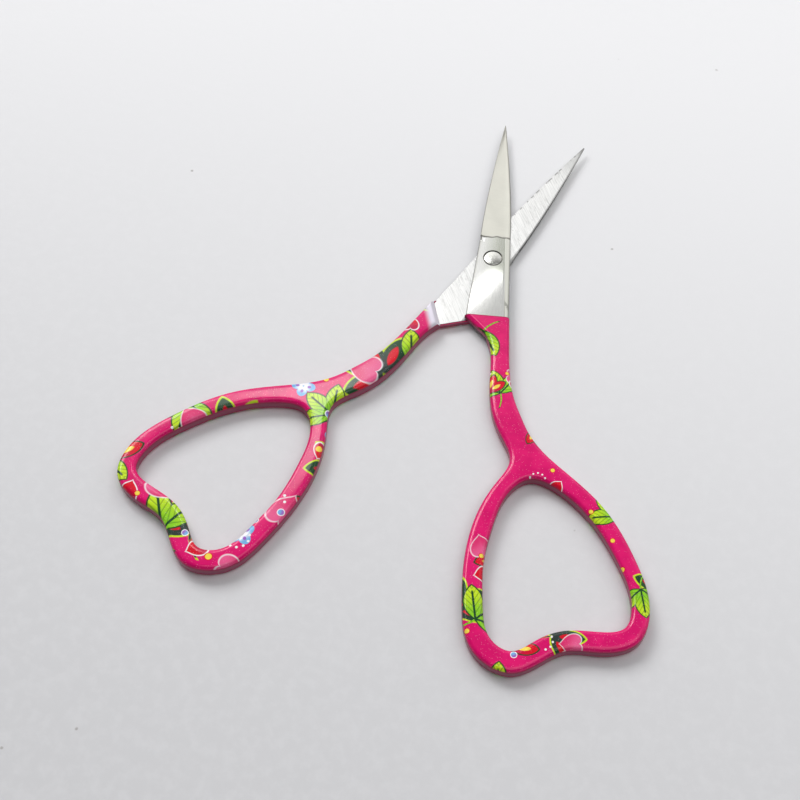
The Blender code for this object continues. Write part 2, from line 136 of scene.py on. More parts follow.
class Graph:
    """The node graph of a finish or of the room, with helpers that add to it."""

    def __init__(self, owner: Union[bpy.types.Material, bpy.types.World], shader: str) -> None:
        """Start on a fresh material or world.

        Args:
            owner: the material or world.
            shader: the name of the shader node that it starts with.
        """
        owner.use_nodes = True
        self.owner = owner
        self.tree = owner.node_tree
        self.shader = self.tree.nodes[shader]

    @classmethod
    def of_finish(cls, name: str) -> "Graph":
        """Start a material with its Principled shader."""
        return cls(bpy.data.materials.new(name), "Principled BSDF")

    def node(self, kind: str, **settings: object) -> bpy.types.Node:
        """Add a node.

        Args:
            kind: the node type's own name.
            settings: values for the node's own options.

        Returns:
            The new node.
        """
        made = self.tree.nodes.new(kind)
        for name, value in settings.items():
            setattr(made, name, value)
        return made

    def feed(self, socket: bpy.types.NodeSocket, value: object) -> None:
        """Give an input its value.

        Args:
            socket: the input.
            value: a field, another node's socket, a colour or a plain number.
        """
        if isinstance(value, Field):
            self.tree.links.new(value.socket, socket)
        elif isinstance(value, bpy.types.NodeSocket):
            self.tree.links.new(value, socket)
        elif isinstance(value, (tuple, list)) and socket.type == "RGBA":
            socket.default_value = (*value[:3], 1.0)
        else:
            socket.default_value = value

    def maths(self, operation: str, *values: Number) -> Field:
        """Do arithmetic in the graph.

        Args:
            operation: the name that the arithmetic node has for it.
            values: the fields and plain numbers that it takes.

        Returns:
            The result.
        """
        made = self.node("ShaderNodeMath", operation=operation)
        for socket, value in zip(made.inputs, values):
            self.feed(socket, value)
        return Field(self, made.outputs[0])

    def point(self) -> tuple[Field, Field, Field]:
        """Where the surface is, in millimetres in the piece's own frame."""
        return self.parts(self.node("ShaderNodeAttribute",
                                    attribute_name=OWN_FRAME).outputs["Vector"])

    def level(self) -> Field:
        """How level the surface lies: 1 on a flat face and 0 on an upright wall."""
        return self.parts(self.node("ShaderNodeNewGeometry").outputs["Normal"])[2].size()

    def seen(self) -> Field:
        """1 where a surface is looked at directly, and 0 in mirrors and in the light it gives."""
        return Field(self, self.node("ShaderNodeLightPath").outputs["Is Camera Ray"])

    def parts(self, vector: bpy.types.NodeSocket) -> tuple[Field, Field, Field]:
        """Take a vector apart.

        Args:
            vector: the vector's socket.

        Returns:
            Its three numbers.
        """
        split = self.node("ShaderNodeSeparateXYZ")
        self.feed(split.inputs[0], vector)
        return tuple(Field(self, out) for out in split.outputs)

    def distance(self, x: Field, y: Field) -> Field:
        """How far x and y together lie from the middle."""
        return self.maths("SQRT", x * x + y * y)

    def vector(self, *parts: Number) -> bpy.types.NodeSocket:
        """Put a vector together.

        Args:
            parts: its three numbers.

        Returns:
            The vector's socket.
        """
        made = self.node("ShaderNodeCombineXYZ")
        for socket, value in zip(made.inputs, parts):
            self.feed(socket, value)
        return made.outputs[0]

    def noise(self, vector: bpy.types.NodeSocket, detail: float = 3.0,
              roughness: float = 0.5) -> Field:
        """Smooth noise about 0.5 over a vector.

        Args:
            vector: the place to read it at, one unit to a feature.
            detail: how many finer layers it has.
            roughness: how strong the finer layers are.

        Returns:
            The noise.
        """
        made = self.node("ShaderNodeTexNoise")
        self.feed(made.inputs["Vector"], vector)
        made.inputs["Scale"].default_value = 1.0
        made.inputs["Detail"].default_value = detail
        made.inputs["Roughness"].default_value = roughness
        return Field(self, made.outputs["Fac"])

    def specks(self, vector: bpy.types.NodeSocket) -> tuple[Field, Field]:
        """Scatter points, one to a unit cell.

        Args:
            vector: the place to read them at, one unit to a cell.

        Returns:
            The distance to the nearest point, and that point's own number from 0 to 1.
        """
        made = self.node("ShaderNodeTexVoronoi", feature="F1")
        self.feed(made.inputs["Vector"], vector)
        made.inputs["Scale"].default_value = 1.0
        own = self.parts(made.outputs["Color"])[0]
        return Field(self, made.outputs["Distance"]), own

    def chance(self, *cell: Number) -> tuple[Field, Field, Field]:
        """Draw three numbers for a cell.

        Args:
            cell: the three whole numbers that name it.

        Returns:
            Numbers from 0 to 1 that are fixed for the cell.
        """
        made = self.node("ShaderNodeTexWhiteNoise", noise_dimensions="3D")
        self.feed(made.inputs["Vector"], self.vector(*cell))
        return self.parts(made.outputs["Color"])

    def paint(self, under: object, over: object, share: Number) -> bpy.types.NodeSocket:
        """One colour laid over another.

        Args:
            under: the colour below, as a socket or a tuple.
            over: the colour on top.
            share: how much of the top one covers.

        Returns:
            The mixed colour's socket.
        """
        made = self.node("ShaderNodeMix", data_type="RGBA")
        self.feed(made.inputs["Factor"], share)
        self.feed(made.inputs[6], under)
        self.feed(made.inputs[7], over)
        return made.outputs[2]

    def layered(self, colour: object, *coats: tuple[object, Number]) -> bpy.types.NodeSocket:
        """Lay colours over one another, the last on top.

        Args:
            colour: the lowest colour, as a socket or a tuple.
            coats: pairs of a colour and how much of it covers what lies below.

        Returns:
            The mixed colour's socket.
        """
        for over, share in coats:
            colour = self.paint(colour, over, share)
        return colour

    def relief(self, height: Field, depth: float) -> bpy.types.NodeSocket:
        """A bumped normal.

        Args:
            height: the relief, from 0 to 1.
            depth: its full depth in millimetres.

        Returns:
            The normal's socket.
        """
        made = self.node("ShaderNodeBump")
        made.inputs["Strength"].default_value = 1.0
        made.inputs["Distance"].default_value = depth * MM
        self.feed(made.inputs["Height"], height)
        return made.outputs["Normal"]

    def finish(self, **values: object) -> Union[bpy.types.Material, bpy.types.World]:
        """Close the graph by setting its shader's inputs.

        Args:
            values: each input's value under the input's name, with _ for a space.

        Returns:
            The material or world.
        """
        for name, value in values.items():
            words = [word.upper() if word == "ior" else word.capitalize()
                     for word in name.split("_")]
            self.feed(self.shader.inputs[" ".join(words)], value)
        return self.owner


# ---- numbers and colours ---------------------------------------------------------------------
def sine(angle: Number) -> Number:
    """The sine of a plain number or of a field."""
    return angle.graph.maths("SINE", angle) if isinstance(angle, Field) else math.sin(angle)


def swung(x: Number, y: Number, cos: Number, sin: Number) -> tuple[Number, Number]:
    """A place along axes that are turned by the angle that has this cosine and sine."""
    return x * cos + y * sin, y * cos - x * sin


def dimmed(colour: Colour, share: float) -> Colour:
    """A colour with each of its parts brought down to a share."""
    return tuple(part * share for part in colour)


# ---- sizes -----------------------------------------------------------------------------------
@dataclass(frozen=True)
class Sizes:
    """The sizes that pieces and finishes share, in millimetres in a half's own frame.

    The methods that take x or y take a plain number for a mesh, or a field for a finish.
    """

    open_angle: float = 27.9         # between the blades, in degrees
    half_height: float = 1.25        # of a handle, above the sliding plane
    ground: float = 0.06             # from the sliding plane to the ground inner face
    coat: float = 0.2                # thickness of the lacquer
    core_room: float = 0.1           # between the lacquer and the steel inside it
    proud: float = 0.15              # how far the lacquer stands above the joint
    coat_end: float = -11.8
    edge_width: float = 3.35         # from the pivot's line to the joint's edge side
    spine_width: float = 3.5
    slant_run: float = 3.75
    shoulder_gap: float = 0.12
    shoulder_run: float = 0.9
    tip: float = 29.9
    grind_end: float = 4.4           # where the blade's hollow starts, at a step
    edge_root: float = 2.6           # widths at that step and at the tip
    spine_root: float = 2.35
    tip_edge: float = 0.2
    tip_spine: float = 0.02
    edge_belly: float = 1.5          # how full the blade's two outlines are
    spine_belly: float = 1.4
    head_radius: float = 1.4
    head_height: float = 0.4
    shank_radius: float = 0.95
    shank_gap: float = 0.05
    tail_radius: float = 1.35
    tail_depth: float = 0.55
    groove: float = 0.16             # the ring left open round the rivet's head
    wander: float = 0.10             # how far the hand-ground step strays, in two waves
    small_wander: float = 0.05
    fall: float = 0.15               # how far the joint's top drops towards the step
    beyond: float = 3.0              # how far a cutting tool reaches past its work
    far: float = 60.0                # the same for a tool that has to clear a whole half

    @property
    def joint_top(self) -> float:
        """The joint's outer face, above the sliding plane."""
        return self.half_height - self.proud

    @property
    def crotch(self) -> float:
        """Where the slanted corner meets the shank."""
        return self.coat_end - self.slant_run

    @property
    def slant_x(self) -> float:
        """How far out from the pivot's line that corner lies."""
        return self.spine_width + self.proud - self.slant_run

    @property
    def shoulder_start(self) -> float:
        """How far the shoulder's foot lies from the pivot, across its own slanted line."""
        return (self.slant_x - self.crotch) * math.sqrt(0.5) + self.shoulder_gap

    def step_wander(self, x: Number) -> Number:
        """How far the hand-ground step strays along the blade at x."""
        return self.wander * sine(1.9 * x + 0.6) + self.small_wander * sine(4.3 * x)

    def blade_share(self, y: Number) -> Number:
        """How far y lies along the blade, from 0 at the step to 1 at the tip."""
        return (y - self.grind_end) / (self.tip - self.grind_end)

    def blade_sides(self, y: Number) -> tuple[Number, Number]:
        """Find the blade's outline.

        Args:
            y: place along the blade.

        Returns:
            Where the cutting edge and the spine lie.
        """
        share = self.blade_share(y)
        edge = self.tip_edge + (self.edge_root - self.tip_edge) * (1 - share**self.edge_belly)
        spine = self.tip_spine - (self.spine_root + self.tip_spine) * (1 - share**self.spine_belly)
        return edge, spine

    def joint_share(self, y: Number) -> Number:
        """How far y lies down the joint, from 0 at the step to 1 at the coat's end."""
        return (self.grind_end - y) / (self.grind_end - self.coat_end)

    def joint_sides(self, y: Number) -> tuple[Number, Number]:
        """Find the joint's outline.

        Args:
            y: place along the joint.

        Returns:
            Where its edge side and its spine side lie.
        """
        share = self.joint_share(y)
        edge = self.edge_root + (self.edge_width - self.edge_root) * share
        spine = -self.spine_root - (self.spine_width - self.spine_root) * share
        return edge, spine


SIZES = Sizes()


# ---- finishes --------------------------------------------------------------------------------
# Places and their ramps are in millimetres in a half's own frame, and shares are from 0 to 1.
@dataclass(frozen=True)
class Steel:
    """What every steel finish shares: its mean roughness, the spread of it, and its relief."""

    roughness: float
    spread: float
    depth: float     # of the relief, in millimetres

    def finished(self, graph: Graph, shade: object, grain: Field, height: Field
                 ) -> bpy.types.Material:
        """Close a steel's graph.

        Args:
            graph: the finish's node graph.
            shade: its colour.
            grain: the noise that the roughness follows.
            height: its relief, from 0 to 1.

        Returns:
            The material.
        """
        return graph.finish(base_color=shade, metallic=1.0,
                            roughness=grain * self.spread + (self.roughness - self.spread / 2),
                            normal=graph.relief(height, self.depth))


@dataclass(frozen=True)
class SatinSteel(Steel):
    """The hollow-ground outer face of a blade: a fine satin, with residue and painted shade in its
    step.
    """

    roughness: float = 0.3
    spread: float = 0.10
    depth: float = 0.0015
    colour: Colour = (0.635, 0.627, 0.565)
    residue_and_shade: Colour = (0.10, 0.095, 0.085)
    # painted shade: the dark grey of the upright walls and of the lines along both sides
    wall: Colour = (0.095, 0.092, 0.09)
    cloud_share: float = 0.92    # how bright the satin's darker clouds are
    # painted shade towards the tip:
    tip_shade_share: float = 0.93      # how bright the blade is near its tip

    def build(self) -> bpy.types.Material:
        """Mix the satin, the dark step, and painted shade at the two sides, the walls and the tip.

        Returns:
            The material.
        """
        graph = Graph.of_finish("satin_steel")
        x, y, z = graph.point()
        lines = graph.noise(graph.vector(x * 0.5, y * 14, z), detail=4, roughness=0.6)
        cloud = graph.noise(graph.vector(x * 0.3, y * 0.25, z), detail=2)
        past_step = y - SIZES.step_wander(x) - SIZES.grind_end
        step_line_reach = (x + 2.4) * 0.11 + 0.18     # wider towards the cutting edge
        edge, spine = SIZES.blade_sides(y)
        shade = graph.layered(
            dimmed(self.colour, self.cloud_share),
            (self.colour, (lines * 0.4 + cloud * 0.6).ramp(0.35, 0.65)),
            # the step's dark line: polish residue, and painted shade in the step's corner
            (self.residue_and_shade, (past_step / step_line_reach).ramp(1.4, 0.8) * 0.85),
            # painted shade: dark lines along the cutting edge and the spine
            (self.wall, (x - edge).ramp(-0.17, -0.07) * 0.6),
            (self.wall, (spine - x).ramp(-0.13, -0.05) * 0.35),
            # painted shade: darker towards the tip
            (dimmed(self.colour, self.tip_shade_share), y.ramp(SIZES.tip - 16, SIZES.tip - 6)),
            # painted shade on the upright walls
            (self.wall, graph.level().ramp(0.6, 0.3)))
        return self.finished(graph, shade, lines, lines)


@dataclass(frozen=True)
class PolishedSteel(Steel):
    """The buffed joint, with faint buffing waves and hairlines."""

    roughness: float = 0.055
    spread: float = 0.03
    depth: float = 0.004
    colour: Colour = (0.66, 0.66, 0.64)
    # painted reflection: a dimmer, warmer patch on the joint's top
    dim_reflection: Colour = (0.49, 0.505, 0.44)
    flank_shade: Colour = (0.44, 0.44, 0.40)
    # painted shade: the dark grey of the walls and of the lines along both sides
    wall: Colour = (0.20, 0.20, 0.19)
    residue_and_shade: Colour = (0.10, 0.095, 0.085)
    hair_share: float = 0.88     # how bright the hairlines are

    def build(self) -> bpy.types.Material:
        """Mix the polish, a painted reflection on top, the dark step, and painted shade at sides
        and groove.

        Returns:
            The material.
        """
        graph = Graph.of_finish("polished_steel")
        x, y, z = graph.point()
        waves = graph.noise(graph.vector(x * 0.28, y * 0.16, z * 0.2), detail=2)
        hair = graph.noise(graph.vector(x * 9, y * 0.7, z), detail=3, roughness=0.6)
        past_step = y - SIZES.step_wander(x) - SIZES.grind_end
        edge, spine = SIZES.joint_sides(y)
        past_edge, past_spine = x - edge, spine - x
        groove = SIZES.head_radius + SIZES.groove
        shade = graph.layered(
            self.colour,
            # painted reflection: a dimmer, warmer patch on the top by the pivot, towards the edge
            # side
            (self.dim_reflection, y.ramp(-6.0, -1.0) * x.ramp(-2.2, 1.0)),
            (dimmed(self.colour, self.hair_share), hair.ramp(0.6, 0.3) * 0.6),
            # the step's dark line: polish residue, and painted shade in its corner
            (self.residue_and_shade, past_step.ramp(-0.20, -0.05) * 0.7),
            # painted shade: a darker chamfer, then a darker band along the spine side
            (self.flank_shade, past_edge.ramp(-0.86, -0.70) * z.ramp(0.3, 0.6)),
            # painted shade: dark lines along both sides and on the upright walls
            (self.wall, past_edge.ramp(-0.16, -0.06) * 0.8),
            (self.flank_shade, past_spine.ramp(-0.45, -0.15) * 0.45),
            (self.wall, past_spine.ramp(-0.17, -0.07) * 0.6),
            (self.wall, graph.level().ramp(0.6, 0.3)),
            # painted shade: a dark ring in the groove round the rivet's head
            (self.residue_and_shade, graph.distance(x, y).ramp(groove + 0.08, groove + 0.03) * 0.85))
        return self.finished(graph, shade, hair, waves * 0.9 + hair * 0.02)


@dataclass(frozen=True)
class GroundSteel(Steel):
    """The flat inner face, left from a coarse wheel: slanting scratches and a fine burr."""

    roughness: float = 0.30
    spread: float = 0.12
    depth: float = 0.010
    colour: Colour = (0.66, 0.66, 0.65)
    # the grey of deep scratches and the burr, also painted shade at the tip and the spine
    scratch_and_shade: Colour = (0.20, 0.20, 0.195)
    slant: float = 37.0          # of the scratches, in degrees
    fine_share: float = 0.80     # how bright the fine scratches are, then the coarse, the tip
    coarse_share: float = 0.66
    # painted shade towards the tip:
    tip_shade_share: float = 0.62

    def build(self) -> bpy.types.Material:
        """Mix fine, coarse and deep scratches, the burr, and painted shade at tip, neck end and
        spine.

        Returns:
            The material.
        """
        graph = Graph.of_finish("ground_steel")
        x, y, _ = graph.point()
        turn = math.radians(self.slant)
        along, across = swung(x, y, math.cos(turn), math.sin(turn))
        coarse = graph.noise(graph.vector(along * 0.07, across * 1.7, 0), detail=1)
        fine = graph.noise(graph.vector(along * 0.20, across * 7.0, 3), detail=4, roughness=0.65)
        breaks = graph.noise(graph.vector(along * 0.9, across * 2.2, 8), detail=2)
        lines = (coarse - 0.5).size().ramp(0.035, 0.005) * breaks.ramp(0.40, 0.55)
        deep = (coarse - 0.58).size().ramp(0.02, 0.004) * breaks.ramp(0.56, 0.62)
        edge, spine = SIZES.blade_sides(y)
        nicks = graph.noise(graph.vector(x * 0.4, y * 1.15, 5), detail=1).ramp(0.54, 0.60)
        on_blade = y.ramp(SIZES.grind_end, SIZES.grind_end + 1)
        shade = graph.layered(
            self.colour,
            (dimmed(self.colour, self.fine_share), fine.ramp(0.44, 0.60)),
            (dimmed(self.colour, self.coarse_share), lines * 0.8),
            (self.scratch_and_shade, deep * 0.6),
            # painted shade: darker towards the tip
            (dimmed(self.colour, self.tip_shade_share), y.ramp(SIZES.tip - 9, SIZES.tip - 3) * 0.7),
            # painted shade: darker towards the neck end, dimming a reflected highlight there
            (BLACK, y.ramp(4.0, -6.0) * 0.11),
            (self.scratch_and_shade, (edge - x).ramp(0.30, 0.12) * nicks * on_blade * 0.85),
            # painted shade: darkest at the very tip
            (self.scratch_and_shade, y.ramp(SIZES.tip - 2.6, SIZES.tip - 0.4) * 0.75),
            # painted shade: a dark strip along the spine side
            (self.scratch_and_shade, (spine - x).ramp(-0.24, -0.12) * 0.8))
        return self.finished(graph, shade, fine, fine * 0.35 - deep * 0.65 - lines * 0.3 + 0.65)


@dataclass(frozen=True)
class RivetSteel(Steel):
    """The rivet, tumbled bright and left faintly mottled."""

    roughness: float = 0.22
    spread: float = 0.1
    depth: float = 0.012
    colour: Colour = (0.51, 0.51, 0.48)
    mottle_share: float = 0.9    # how bright the darker mottles are

    def build(self) -> bpy.types.Material:
        """Mottle the steel.

        Returns:
            The material.
        """
        graph = Graph.of_finish("rivet_steel")
        x, y, z = graph.point()
        mottle = graph.noise(graph.vector(x * 2.2, y * 2.2, z * 2.2), detail=3)
        shade = graph.paint(dimmed(self.colour, self.mottle_share), self.colour,
                            mottle.ramp(0.35, 0.6))
        return self.finished(graph, shade, mottle, mottle)


@dataclass(frozen=True)
class Ink:
    """The colours of one motif: its body's two tones, its outline and veins, its middle."""

    fill: Colour
    second: Colour
    line: Colour
    middle: Colour


# Places in a motif are measured along and across each petal: 0 in its middle, 1 at its end.
SOFT = 0.06              # how softly lines end
TONES = (-0.7, 0.6)      # where a petal's first tone ends and where its second is full
RIBS = 2.6               # side veins to half a petal's length
RIB_SLANT = 0.7          # how far they point towards the petal's end
RIB = (0.30, 0.18)       # a side vein's width with and without its soft rim, of their pitch
RIB_SHARE = 0.45         # how strong they are beside the main vein
VEIN_END = (0.75, 0.6)   # where the main vein ends and where it is still full
SMALLEST = 0.7           # the least share of its full size that a motif is drawn at
SECOND_DRAW = 7.3        # sets a cell's second three numbers apart from its first


@dataclass(frozen=True)
class Motif:
    """One kind of printed motif, thrown once or not at all into each cell of a turned grid.

    A motif's form is 1 at its outline and below 1 inside. The middle fills the form up to
    `core`, and `vein` is the half width of the line down each petal.
    """

    cell: float              # the grid's pitch, in millimetres
    share: float             # of the cells that hold the motif
    ink: Ink
    turn: float              # of the grid, in degrees
    seed: float
    outline: float = 0.16    # how far the outline spreads past the form
    core: float = 0.0
    vein: float = 0.0

    def room(self) -> float:
        """How far the motif reaches from its middle, in millimetres."""
        raise NotImplementedError

    def form(self, graph: Graph, x: Field, y: Field) -> tuple[Field, Field, Field]:
        """The motif's form, with the places along and across each of its petals."""
        raise NotImplementedError

    def draw(self, graph: Graph, x: Field, y: Field, under: object, density: float
             ) -> bpy.types.NodeSocket:
        """Print the motif over a colour.

        Args:
            graph: the finish's node graph.
            x: place across the film, in millimetres.
            y: place along the film.
            under: the colour printed so far.
            density: how many more cells hold the motif than its own share says.

        Returns:
            The colour with the motif on it.
        """
        angle = math.radians(self.turn)
        turned_x, turned_y = swung(x, y, math.cos(angle), math.sin(angle))
        grid_x, grid_y = turned_x / self.cell, turned_y / self.cell
        cell_x, cell_y = graph.maths("FLOOR", grid_x), graph.maths("FLOOR", grid_y)
        move_x, move_y, spin = graph.chance(cell_x, cell_y, self.seed)
        kind, scale, _ = graph.chance(cell_x, cell_y, self.seed + SECOND_DRAW)
        slack = 1 - 2 * self.room() / self.cell
        grow = self.cell / (scale * (1 - SMALLEST) + SMALLEST)
        at_x = (grid_x - cell_x - 0.5 - (move_x - 0.5) * slack) * grow
        at_y = (grid_y - cell_y - 0.5 - (move_y - 0.5) * slack) * grow
        cos, sin = (graph.maths(name, spin * math.tau) for name in ("COSINE", "SINE"))
        form, along, side = self.form(graph, *swung(at_x, at_y, cos, sin))
        here = graph.maths("LESS_THAN", kind, self.share * density)
        border = 1 + self.outline
        colour = graph.paint(under, self.ink.line, form.ramp(border + SOFT, border - SOFT) * here)
        tone = graph.paint(self.ink.fill, self.ink.second, along.ramp(*TONES))
        if self.core:
            tone = graph.paint(tone, self.ink.middle, form.ramp(self.core + SOFT, self.core - SOFT))
        if self.vein:
            ribs = graph.maths("FRACT", (along - side * RIB_SLANT) * RIBS).ramp(*RIB)
            tone = graph.paint(tone, self.ink.line, ribs * RIB_SHARE)
            stalk = side.ramp(self.vein + SOFT, self.vein - SOFT / 2) * along.ramp(*VEIN_END)
            tone = graph.paint(tone, self.ink.line, stalk)
        return graph.paint(colour, tone, form.ramp(1 + SOFT, 1 - SOFT) * here)


@dataclass(frozen=True)
class Petals(Motif):
    """Petals or leaves in a ring or a fan, round-ended or pointed, on a stem or without one."""

    petals: int = 5
    spread: float = 360.0    # of the ring or fan, in degrees
    reach: float = 1.0       # from the ring's middle to a petal's
    length: float = 0.8      # half a petal's length, then half its width
    width: float = 0.5
    point: float = 0.0       # 0 for round ends and 1 for pointed ones
    stem: float = 0.0        # the stem's length, or 0 without one
    stem_bend: float = 0.12  # how much it curves
    stem_width: float = 0.13

    def room(self) -> float:
        """How far the motif reaches from its middle, in millimetres."""
        return max(self.reach + self.length * (1 + self.outline), self.stem)

    def form(self, graph: Graph, x: Field, y: Field) -> tuple[Field, Field, Field]:
        """Fold every petal onto one and measure that.

        Args:
            graph: the finish's node graph.
            x: place across the motif, in millimetres.
            y: place up it.

        Returns:
            The form, and the places along and across each petal.
        """
        out = graph.distance(x, y)
        angle = graph.maths("ARCTAN2", y, x)
        step = math.radians(self.spread) / self.petals
        place = graph.maths("FLOOR", angle / step + self.petals / 2)
        place = graph.maths("MINIMUM", graph.maths("MAXIMUM", place, 0), self.petals - 1)
        fold = angle - (place - (self.petals - 1) / 2) * step
        along = (out * graph.maths("COSINE", fold) - self.reach) / self.length
        side = (out * graph.maths("SINE", fold)).size() / self.width
        blunt = graph.distance(along, side)
        form = blunt * (1 - self.point) + (along * along + side) * self.point
        if self.stem:
            bend = (y - x * x * self.stem_bend).size() / self.stem_width
            stem = graph.maths("MAXIMUM", bend, (x / self.stem + 0.5).size() * 2)
            form = graph.maths("MINIMUM", form, stem)
        return form, along, side


@dataclass(frozen=True)
class Hearts(Motif):
    """A plump heart."""

    size: float = 1.6
    squat: float = 1.05      # how much it is pressed from above
    cleft: float = 0.62      # how far its sides swing up into the two lobes
    spare: float = 1.35      # how far it reaches, as a share of its size

    def room(self) -> float:
        """How far the motif reaches from its middle, in millimetres."""
        return self.size * self.spare

    def form(self, graph: Graph, x: Field, y: Field) -> tuple[Field, Field, Field]:
        """Bend a circle into a heart.

        Args:
            graph: the finish's node graph.
            x: place across the motif, in millimetres.
            y: place up it.

        Returns:
            The form, and the places up and across the heart.
        """
        across = (x / self.size).size()
        up = (y / self.size) * self.squat - graph.maths("SQRT", across) * self.cleft
        return graph.distance(across, up), up, across


@dataclass(frozen=True)
class Dots(Motif):
    """A berry or dot."""

    size: float = 0.5
    spare: float = 1.2       # how far it reaches, as a share of its size

    def room(self) -> float:
        """How far the motif reaches from its middle, in millimetres."""
        return self.size * self.spare

    def form(self, graph: Graph, x: Field, y: Field) -> tuple[Field, Field, Field]:
        """The dot's form."""
        return graph.distance(x, y) / self.size, y / self.size, x / self.size


LIME = (0.54, 0.74, 0.02)
LEAF = (0.24, 0.58, 0.02)
BOTTLE = (0.012, 0.06, 0.02)
SCARLET = (0.66, 0.005, 0.02)
CHERRY = (0.48, 0.004, 0.06)
BUTTER = (0.86, 0.66, 0.08)
SNOW = (0.86, 0.84, 0.86)
SKY = (0.16, 0.42, 0.72)
VIOLET = (0.30, 0.12, 0.50)
SLATE = (0.03, 0.045, 0.04)
ROSE = (0.68, 0.03, 0.15)
BLUSH = (0.76, 0.10, 0.26)

MOTIFS = (
    Petals(cell=13.5, share=0.60, ink=Ink(SLATE, BOTTLE, LIME, SCARLET), turn=74, seed=4.0,
           outline=0.18, core=0.45, petals=4, spread=190, reach=2.8, length=2.7, width=1.25,
           point=0.45, stem=3.2),
    Petals(cell=12.0, share=0.70, ink=Ink(LEAF, LIME, BOTTLE, BUTTER), turn=17, seed=1.0,
           outline=0.16, vein=0.10, petals=3, spread=165, reach=2.8, length=2.7, width=1.4,
           point=0.7, stem=3.0),
    Petals(cell=10.0, share=0.50, ink=Ink(CHERRY, SCARLET, BOTTLE, BUTTER), turn=53, seed=9.0,
           outline=0.20, core=0.38, petals=3, spread=105, reach=2.1, length=2.0, width=0.95,
           point=0.35),
    Hearts(cell=9.5, share=0.55, ink=Ink(ROSE, BLUSH, SNOW, SNOW), turn=12, seed=11.0,
           outline=0.07, size=1.9),
    Hearts(cell=7.5, share=0.45, ink=Ink(SCARLET, CHERRY, SNOW, SNOW), turn=41, seed=2.0,
           outline=0.14, size=1.25),
    Petals(cell=7.0, share=0.40, ink=Ink(SNOW, SKY, SKY, VIOLET), turn=66, seed=3.0,
           outline=0.16, core=0.35, petals=4, reach=0.85, length=0.75, width=0.62, point=0.1),
    Petals(cell=6.5, share=0.40, ink=Ink(SNOW, SNOW, CHERRY, SNOW), turn=24, seed=5.0,
           outline=0.0, petals=6, spread=200, reach=1.7, length=0.20, width=0.20),
    Dots(cell=3.6, share=0.25, ink=Ink(BUTTER, BUTTER, SCARLET, SNOW), turn=30, seed=6.0,
         size=0.38, outline=0.3),
    Dots(cell=5.0, share=0.22, ink=Ink(VIOLET, SKY, SNOW, SNOW), turn=55, seed=8.0,
         size=0.42, outline=0.3),
)


@dataclass(frozen=True)
class PrintedLacquer:
    """Pink film under clear lacquer: scattered motifs, fine glitter, and painted shade on the
    walls.
    """

    name: str
    shift: tuple[float, float]       # moves the print over the handle, in millimetres
    density: float                   # more motifs above 1, and fewer below
    scale: float
    pink: Colour = (0.64, 0.004, 0.13)
    lighter_pink: Colour = (0.7208, 0.00848, 0.1496)
    # painted shade: the walls' dark pink, with a greyer mauve band at mid-height
    wall: Colour = (0.34, 0.008, 0.065)
    mid_wall_band: Colour = (0.30, 0.070, 0.125)
    primer: Colour = (0.78, 0.74, 0.84)
    sparkle: Colour = (0.95, 0.62, 0.84)
    bare: tuple[float, float] = (2.4, 1.2)              # from pink to primer at the shoulder
    sparkle_size: tuple[float, float] = (0.26, 0.10)    # its rim and its middle, of their pitch
    sparkle_share: float = 0.5
    sparkles_per_mm: float = 5.5
    sparkles_left_out: float = 0.68
    peel_depth: float = 0.006        # of the lacquer's orange peel, in millimetres

    def build(self) -> bpy.types.Material:
        """Lay film, motifs, glitter, bare primer, and painted shade at the coat's end, rim and
        walls.

        Returns:
            The material.
        """
        graph = Graph.of_finish(self.name)
        x, y, z = graph.point()
        cloud = graph.noise(graph.vector(x * 0.35, y * 0.35, z * 0.35), detail=2)
        colour = graph.paint(self.pink, self.lighter_pink, cloud.ramp(0.4, 0.65))
        print_x, print_y = (x + self.shift[0]) / self.scale, (y + self.shift[1]) / self.scale
        for motif in MOTIFS:
            colour = motif.draw(graph, print_x, print_y, colour, self.density)
        gap, own = graph.specks(graph.vector(*(part * self.sparkles_per_mm for part in (x, y, z))))
        bright = graph.maths("GREATER_THAN", own, self.sparkles_left_out)
        past_shoulder = (x - y) * math.sqrt(0.5) - SIZES.shoulder_start
        # painted shade on the walls: maroon towards top and bottom, greyer mauve at mid-height
        wall = graph.paint(self.mid_wall_band, self.wall, (z + cloud * 0.3 - 0.15).size().ramp(0.30, 0.75))
        colour = graph.layered(
            colour,
            (self.sparkle, gap.ramp(*self.sparkle_size) * bright * self.sparkle_share),
            # painted shade: a dark line along the coat's end, beside the joint
            (self.wall, y.ramp(SIZES.coat_end - 0.22, SIZES.coat_end - 0.08) * 0.75),
            (self.primer, past_shoulder.ramp(*self.bare) * z.ramp(0.15, 0.0)),
            # painted shade: the coat's thin rim on the ground face, in the walls' dark colour
            (self.wall, (z - SIZES.ground).size().ramp(0.05, 0.03)),
            # painted shade on the upright walls
            (wall, graph.level().ramp(0.50, 0.15)))
        peel = graph.noise(graph.vector(x * 0.9, y * 0.9, z * 0.9), detail=2)
        return graph.finish(base_color=colour, roughness=0.55, specular_ior_level=0.0,
                            coat_weight=0.65, coat_roughness=0.12, coat_ior=1.5,
                            normal=graph.relief(peel, self.peel_depth))


